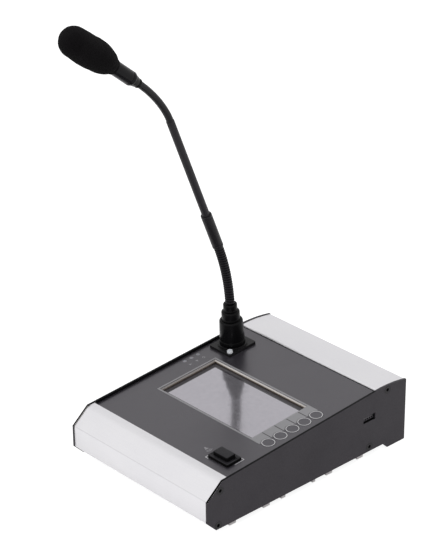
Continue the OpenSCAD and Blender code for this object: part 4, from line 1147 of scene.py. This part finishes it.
on_plug("plug_top_sleeve", [
    (NECK_BORE, low, 0), (ferrule, low, 0), *grooved(ferrule, low + SEAM_UP), (ferrule, top, FERRULE_ROUND),
    (FERRULE_MOUTH[0], top, MOUTH_EDGE), (FERRULE_MOUTH[1], top - FERRULE_SINK, 0),
    (NECK_BORE, top - FERRULE_SINK, 0), (NECK_BORE, low, 0)], "plug_ferrule")
print("plug: barrel", round(2 * barrel / mm, 1), "mm,", round((top - foil_top) / mm, 1), "mm high")

# %% [markdown]
# In the frame a gooseneck is a chain of short links, and each joint's place tells where the chain runs.
# The first link goes on from what carries it. The last joint sways about an axis that lies across the
# middle lean of its two links, so that axis tells the lean of the last one.

# %% Course of the two necks
def heading(lean):
    """The direction of a neck that leans towards the user."""
    return Vector((0, -math.sin(lean), math.cos(lean)))


def stand(bm, place, lean):
    """Puts what was drawn upright at a place, leaning towards the user."""
    bmesh.ops.transform(
        bm, matrix=Matrix.Translation(place) @ Matrix.Rotation(lean, 4, "X"), verts=bm.verts)


def course(prefix, first_lean):
    """The joints of a neck, their places, its link length, the lean of each link, and where it ends."""
    chain = [j for j in frame["joints"] if j["name"].startswith(prefix)]
    places = [Vector(j["pos_m"]) for j in chain]
    leans = [math.atan2(a.y - b.y, b.z - a.z) for a, b in zip(places, places[1:])]
    across = Vector(chain[-1]["axis"])
    last_lean = 2 * math.atan2(across.z, across.y) - leans[-1]
    link = (places[1] - places[0]).length
    return chain, places, link, [first_lean, *leans, last_lean], places[-1] + link / 2 * heading(last_lean)


*lower_course, stem_start = course("lower_", slope)
stem_lean = lower_course[-1][-1]
*upper_course, head_start = course("upper_", stem_lean)
head_lean = upper_course[-1][-1]
print("necks lean", [round(math.degrees(a)) for a in (slope, stem_lean, head_lean)], "degrees")

# %% [markdown]
# The sheath over a neck is one piece for each joint: it starts in the middle of one link, ends in the
# middle of the next, and bends smoothly between them. A circle spun about a centre off to the side makes
# it. The lower neck is a steel coil under paint, so its sheath is then drawn in along a helix, with whole
# turns on each piece so that they run on into the next. The faces deep in the groove are painted darker:
# painted shade in the grooves.

# %% Sheath of a joint
RIBS = 4
RIB_DEPTH = 0.55 * mm
RIB_SHAPE = 1.5
GROOVE_FROM = 0.5
RIB_RINGS = 10
SMOOTH_RINGS = 16
SIDES = 40


def sheath(place, link, lean, next_lean, radius, ribs):
    """A bent tube from the middle of one link to the middle of the next."""
    start = place - link / 2 * heading(lean)
    bend = next_lean - lean
    bend_radius = link / 2 / math.tan(bend / 2)
    inwards = Vector((0, -math.cos(lean), -math.sin(lean)))
    centre = start + bend_radius * inwards
    bm = bmesh.new()
    bmesh.ops.create_circle(bm, segments=SIDES, radius=radius)
    stand(bm, start, lean)
    bmesh.ops.spin(
        bm, geom=bm.verts[:] + bm.edges[:], cent=centre, axis=(1, 0, 0), angle=bend,
        steps=ribs * RIB_RINGS or SMOOTH_RINGS)
    bmesh.ops.recalc_face_normals(bm, faces=bm.faces)
    if ribs:
        depths = {}
        for vert in bm.verts:
            out = vert.co - centre
            away = Vector((0, out.y, out.z)).normalized()
            along = (math.atan2(out.z, out.y) - math.atan2(-inwards.z, -inwards.y)) / bend
            axis_point = centre + bend_radius * away
            spoke = vert.co - axis_point
            around = math.atan2(spoke.dot(away), spoke.x) / FULL_TURN
            depths[vert] = 1 - abs(math.sin(math.pi * (ribs * along + around)))
            vert.co = axis_point + spoke * (1 - RIB_DEPTH * depths[vert] ** RIB_SHAPE / radius)
        # Faces deep in the groove take the painted groove shade
        for face in bm.faces:
            depth = sum(depths[v] for v in face.verts) / len(face.verts)
            face.material_index = int(depth > GROOVE_FROM)
    return bm, start, place + link / 2 * heading(next_lean)


print("a ribbed sheath has", RIBS, "turns")

# %% [markdown]
# A sheath belongs to two bodies at once, so it is tied to neither. The last sheath of a neck stands for
# two links, because a neck has one link more than it has joints.

# %% Neck sheaths
def cover_neck(name, chain, places, link, leans, radius, ribs, material):
    """A sheath over each joint of a neck, standing for the links under it."""
    for k, (joint, place) in enumerate(zip(chain, places)):
        bm, start, end = sheath(place, link, leans[k], leans[k + 1], radius, ribs)
        links = [f"{name}_{k + 1}"] + ([f"{name}_{k + 2}"] if joint is chain[-1] else [])
        piece = new_piece(
            f"{name}_sheath_{k + 1}", bm, "neck_black", material, neck_groove_shade, body=None, stands_for=links,
            crease=60)
        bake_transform(piece)
    print(name, "has", len(chain), "sheaths of", len(piece.data.polygons), "faces")


def node_span(node, start, lean):
    """How far a solid reaches along a lean from a start, and its radius across."""
    places = [v.co - start for v in frame["nodes"][node].data.vertices]
    reach = [p.dot(heading(lean)) for p in places]
    return min(reach), max(reach), max(abs(p.x) for p in places)


lower_radius = node_span("lower_neck_1", stem_start, slope)[2]
upper_radius = node_span("upper_neck_1", head_start, stem_lean)[2]
cover_neck("lower_neck", *lower_course, lower_radius, RIBS, neck_rubber)
cover_neck("upper_neck", *upper_course, upper_radius, 0, neck_smooth)

# %% [markdown]
# Between the two necks runs a straight painted tube, gripped below by a thicker sleeve, with thin grooves
# near the ends. The head has a ring, a waist and a cone that opens to the capsule's housing, which
# disappears in the foam. Ring and cone are enamelled like the plug, and the housing above them is
# painted.

# %% Sleeve, stem and capsule housing
SLEEVE_ROUND, SLEEVE_SEAM = (0.5 * mm, 0.6 * mm), 3 * mm
STEM_END, STEM_SEAM = 0.45 * mm, 2.6 * mm
RING_RADIUS, RING_HIGH, RING_ROUND = 4.0 * mm, 2.2 * mm, (0.4 * mm, 0.3 * mm)
WAIST, WAIST_FROM, WAIST_TO = 0.35 * mm, 2.5 * mm, 3 * mm
CONE_FROM, CONE_TO = 3.4 * mm, 8.8 * mm
CONE_START, CONE_END, CONE_ROUND = 0.3 * mm, 0.7 * mm, (0.2 * mm, 0.6 * mm)
HOUSING_FROM, HOUSING_SEAM, HOUSING_ROUND = CONE_TO + 0.8 * mm, CONE_TO + 4 * mm, 0.4 * mm


def on_lean(name, profile, start, lean, body, material, node, enamel_to=-1.0):
    """A turned piece that stands at a start and leans towards the user, enamelled up to a height."""
    bm = turned(profile, steps=64)
    pick_finishes(bm, lambda face: face.calc_center_median().z < enamel_to)
    stand(bm, start, lean)
    return new_piece(name, bm, "neck_black", material, plug_enamel, body=body, stands_for=[node])


low, sleeve_top, sleeve = node_span("neck_sleeve", stem_start, stem_lean)
on_lean("neck_joining_sleeve", [
    (0, low, 0), (sleeve, low, SLEEVE_ROUND[0]), *grooved(sleeve, low + SLEEVE_SEAM),
    *grooved(sleeve, sleeve_top - SLEEVE_SEAM), (sleeve, sleeve_top, SLEEVE_ROUND[1]), (0, sleeve_top, 0)],
    stem_start, stem_lean, "stem", sleeve_plastic, "neck_sleeve")
low, top, tube = node_span("stem_tube", stem_start, stem_lean)
on_lean("stem_painted_tube", [
    (0, low, 0), (tube, low, 0), *grooved(tube, top - STEM_SEAM), (tube, top, STEM_END), (0, top, 0)],
    stem_start, stem_lean, "stem", stem_paint, "stem_tube")
print("stem:", round((top - sleeve_top) / mm), "mm free")

low, top, housing_radius = node_span("capsule_housing", head_start, head_lean)
on_lean("capsule_tube", [
    (0, low, 0), (RING_RADIUS, low, RING_ROUND[0]), (RING_RADIUS, low + RING_HIGH, RING_ROUND[1]),
    (RING_RADIUS - WAIST, low + WAIST_FROM, 0), (RING_RADIUS - WAIST, low + WAIST_TO, 0),
    (RING_RADIUS + CONE_START, CONE_FROM, CONE_ROUND[0]),
    (housing_radius - CONE_END, CONE_TO, CONE_ROUND[1]),
    (housing_radius, HOUSING_FROM, HOUSING_ROUND), *grooved(housing_radius, HOUSING_SEAM),
    (housing_radius, top, 0), (0, top, 0)],
    head_start, head_lean, "head", housing_paint, "capsule_housing", enamel_to=CONE_TO)
print("housing:", round(2 * housing_radius / mm, 1), "mm thick")

# %% [markdown]
# The windscreen is a ball of open foam, pulled over the capsule. Its outline is blunt in front and drawn
# in behind. Even steps along that outline give even faces, from the open end to the tip.

# %% Foam outline
FOAM_BELLY = 30 * mm
FOAM_RADIUS = 13.2 * mm
FOAM_BLUNT = 5.2
FOAM_DRAW_IN, FOAM_DRAW_LONG = 2.34, 1.087
FOAM_WALL = 0.8 * mm
FOAM_LIP = 1.5 * mm
FOAM_AROUND = 250
FOAM_ALONG = 300
FINE_STEPS = 2000

foam_foot, foam_tip, _ = node_span("foam_windscreen", head_start, head_lean)
foam_length = foam_tip - foam_foot


def foam_radius(t):
    """Radius of the foam at t from its open end, as its solid has it."""
    if t < FOAM_BELLY:
        draw_in = ((FOAM_BELLY - t) / (FOAM_DRAW_LONG * FOAM_BELLY)) ** FOAM_DRAW_IN
        return max(housing_radius + FOAM_WALL, FOAM_RADIUS * math.sqrt(1 - draw_in))
    blunt = ((t - FOAM_BELLY) / (foam_length - FOAM_BELLY)) ** FOAM_BLUNT
    return FOAM_RADIUS * math.sqrt(max(0, 1 - blunt))


def even_points(curve, count):
    """Points of a polyline at even steps along it."""
    lengths = [0.0]
    for a, b in zip(curve, curve[1:]):
        lengths.append(lengths[-1] + (Vector(b) - Vector(a)).length)
    points, k = [], 0
    for i in range(count + 1):
        reach = lengths[-1] * i / count
        while k < len(curve) - 2 and lengths[k + 1] < reach:
            k += 1
        share = (reach - lengths[k]) / (lengths[k + 1] - lengths[k])
        points.append(Vector(curve[k]).lerp(Vector(curve[k + 1]), share))
    return points


fine = [foam_length * math.sin(math.pi / 2 * k / FINE_STEPS) for k in range(FINE_STEPS + 1)]
outline = even_points([(foam_radius(t), t) for t in fine], FOAM_ALONG)
foot, tip = outline[0].y, outline[-1].y
foam_profile = [
    (housing_radius, foot + FOAM_LIP, 0), (housing_radius, foot, 0),
    *((p.x, p.y, 0) for p in outline[:-1]), (0, tip, 0)]
print("foam:", round(foam_length / mm, 1), "mm long,", len(foam_profile), "points in its outline")

# %% [markdown]
# A smooth ball would look like rubber, so every point of the fine skin is pushed in where a cell of the
# froth lies: deep close to a cell's middle, and not at all at the walls. Past the capsule nothing holds
# the foam up, so it has a slight waist and its front droops a little. Foam keeps the shape that it was
# moulded in, so no cloth simulation is needed.

# %% Foam windscreen
CELL, CELL_DEPTH, CELL_WALL = 0.95 * mm, 0.42 * mm, 1.6
LUMP, LUMP_DEPTH, LUMP_LEVEL = 6 * mm, 0.25 * mm, 0.6
WAIST_AT, WAIST_LONG, WAIST_DEPTH = 42 * mm, 7 * mm, 0.3 * mm
DROOP, DROOP_FROM, DROOP_TO = 0.85 * mm, 20 * mm, 36 * mm
GRIP, GRIP_LONG = 0.1 * mm, 3 * mm


def foam_push(vert):
    """How far a point of the skin moves for its cell, the lumps, the waist and the droop."""
    x, y, z = vert.co
    if math.hypot(x, y) < housing_radius + GRIP and z < GRIP_LONG:
        return Vector()
    near, second_near = noise.voronoi(vert.co / CELL)[0][:2]
    pit = max(0.0, 1 - CELL_WALL * near / (near + second_near))
    lump = noise.noise(vert.co / LUMP) - LUMP_LEVEL
    waist = WAIST_DEPTH * math.exp(-((z - WAIST_AT) / WAIST_LONG) ** 2)
    share = min(1.0, max(0.0, (z - DROOP_FROM) / (DROOP_TO - DROOP_FROM)))
    droop = Vector((0, -DROOP * share * share * (3 - 2 * share), 0))
    return vert.normal * (LUMP_DEPTH * lump - CELL_DEPTH * pit - waist) + droop


bm = turned(foam_profile, steps=FOAM_AROUND)
bm.normal_update()
pushes = [foam_push(vert) for vert in bm.verts]
for vert, push in zip(bm.verts, pushes):
    vert.co += push
stand(bm, head_start + foam_foot * heading(head_lean), head_lean)
foam = new_piece(
    "foam_ball", bm, "foam_black", foam_black, body="head", stands_for=["foam_windscreen"], crease=180)
print("foam skin:", len(foam.data.polygons), "faces")

# %% [markdown]
# The sockets at the rear are what a user reaches for, so they get their small metal parts: eight sprung
# gold wires in the network socket, and the tinned pin of the power socket.

# %% Contacts of the rear sockets
WIRES = 8
WIRE_PITCH = 1.02 * mm
WIRE_WIDTH = 0.45 * mm
WIRE_THICK = 0.25 * mm
WIRE_TOP = 2.9 * mm
# Depth behind the rear face and drop under the mouth's top along a wire
WIRE_PATH = ((1.5 * mm, 0), (2.5 * mm, 0.2 * mm), (9 * mm, 3.2 * mm))
PIN_RADIUS, PIN_LONG, PIN_TIP, PIN_ROUND = 1.06 * mm, 8 * mm, 0.3 * mm, 0.5 * mm
PIN_FOOT = 9.4 * mm

jack_low, jack_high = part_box("network_socket")
wires = bmesh.new()
for k in range(WIRES):
    x = (jack_low.x + jack_high.x) / 2 + (k - (WIRES - 1) / 2) * WIRE_PITCH
    corners = [
        wires.verts.new((x - WIRE_WIDTH / 2, jack_high.y - deep, jack_high.z - WIRE_TOP - drop))
        for deep, drop in WIRE_PATH]
    edges = [wires.edges.new(pair) for pair in zip(corners, corners[1:])]
    made = bmesh.ops.extrude_edge_only(wires, edges=edges)["geom"]
    moved = [g for g in made if isinstance(g, bmesh.types.BMVert)]
    bmesh.ops.translate(wires, vec=(WIRE_WIDTH, 0, 0), verts=moved)
bmesh.ops.recalc_face_normals(wires, faces=wires.faces)
bmesh.ops.solidify(wires, geom=wires.faces[:], thickness=WIRE_THICK)
new_piece("network_contacts", wires, "contact_gold", contact_gold)

power_low, power_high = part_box("power_socket")
power_middle = (power_low + power_high) / 2
bm = turned([
    (0, 0, 0), (PIN_RADIUS, 0, 0), (PIN_RADIUS, PIN_LONG, PIN_ROUND), (0, PIN_LONG + PIN_TIP, 0)], steps=32)
stand(bm, (power_middle.x, power_high.y - PIN_FOOT, power_middle.z), -math.pi / 2)
new_piece("power_centre_pin", bm, "jack_metal", jack_tin)
print("rear sockets:", WIRES, "wires and a pin")
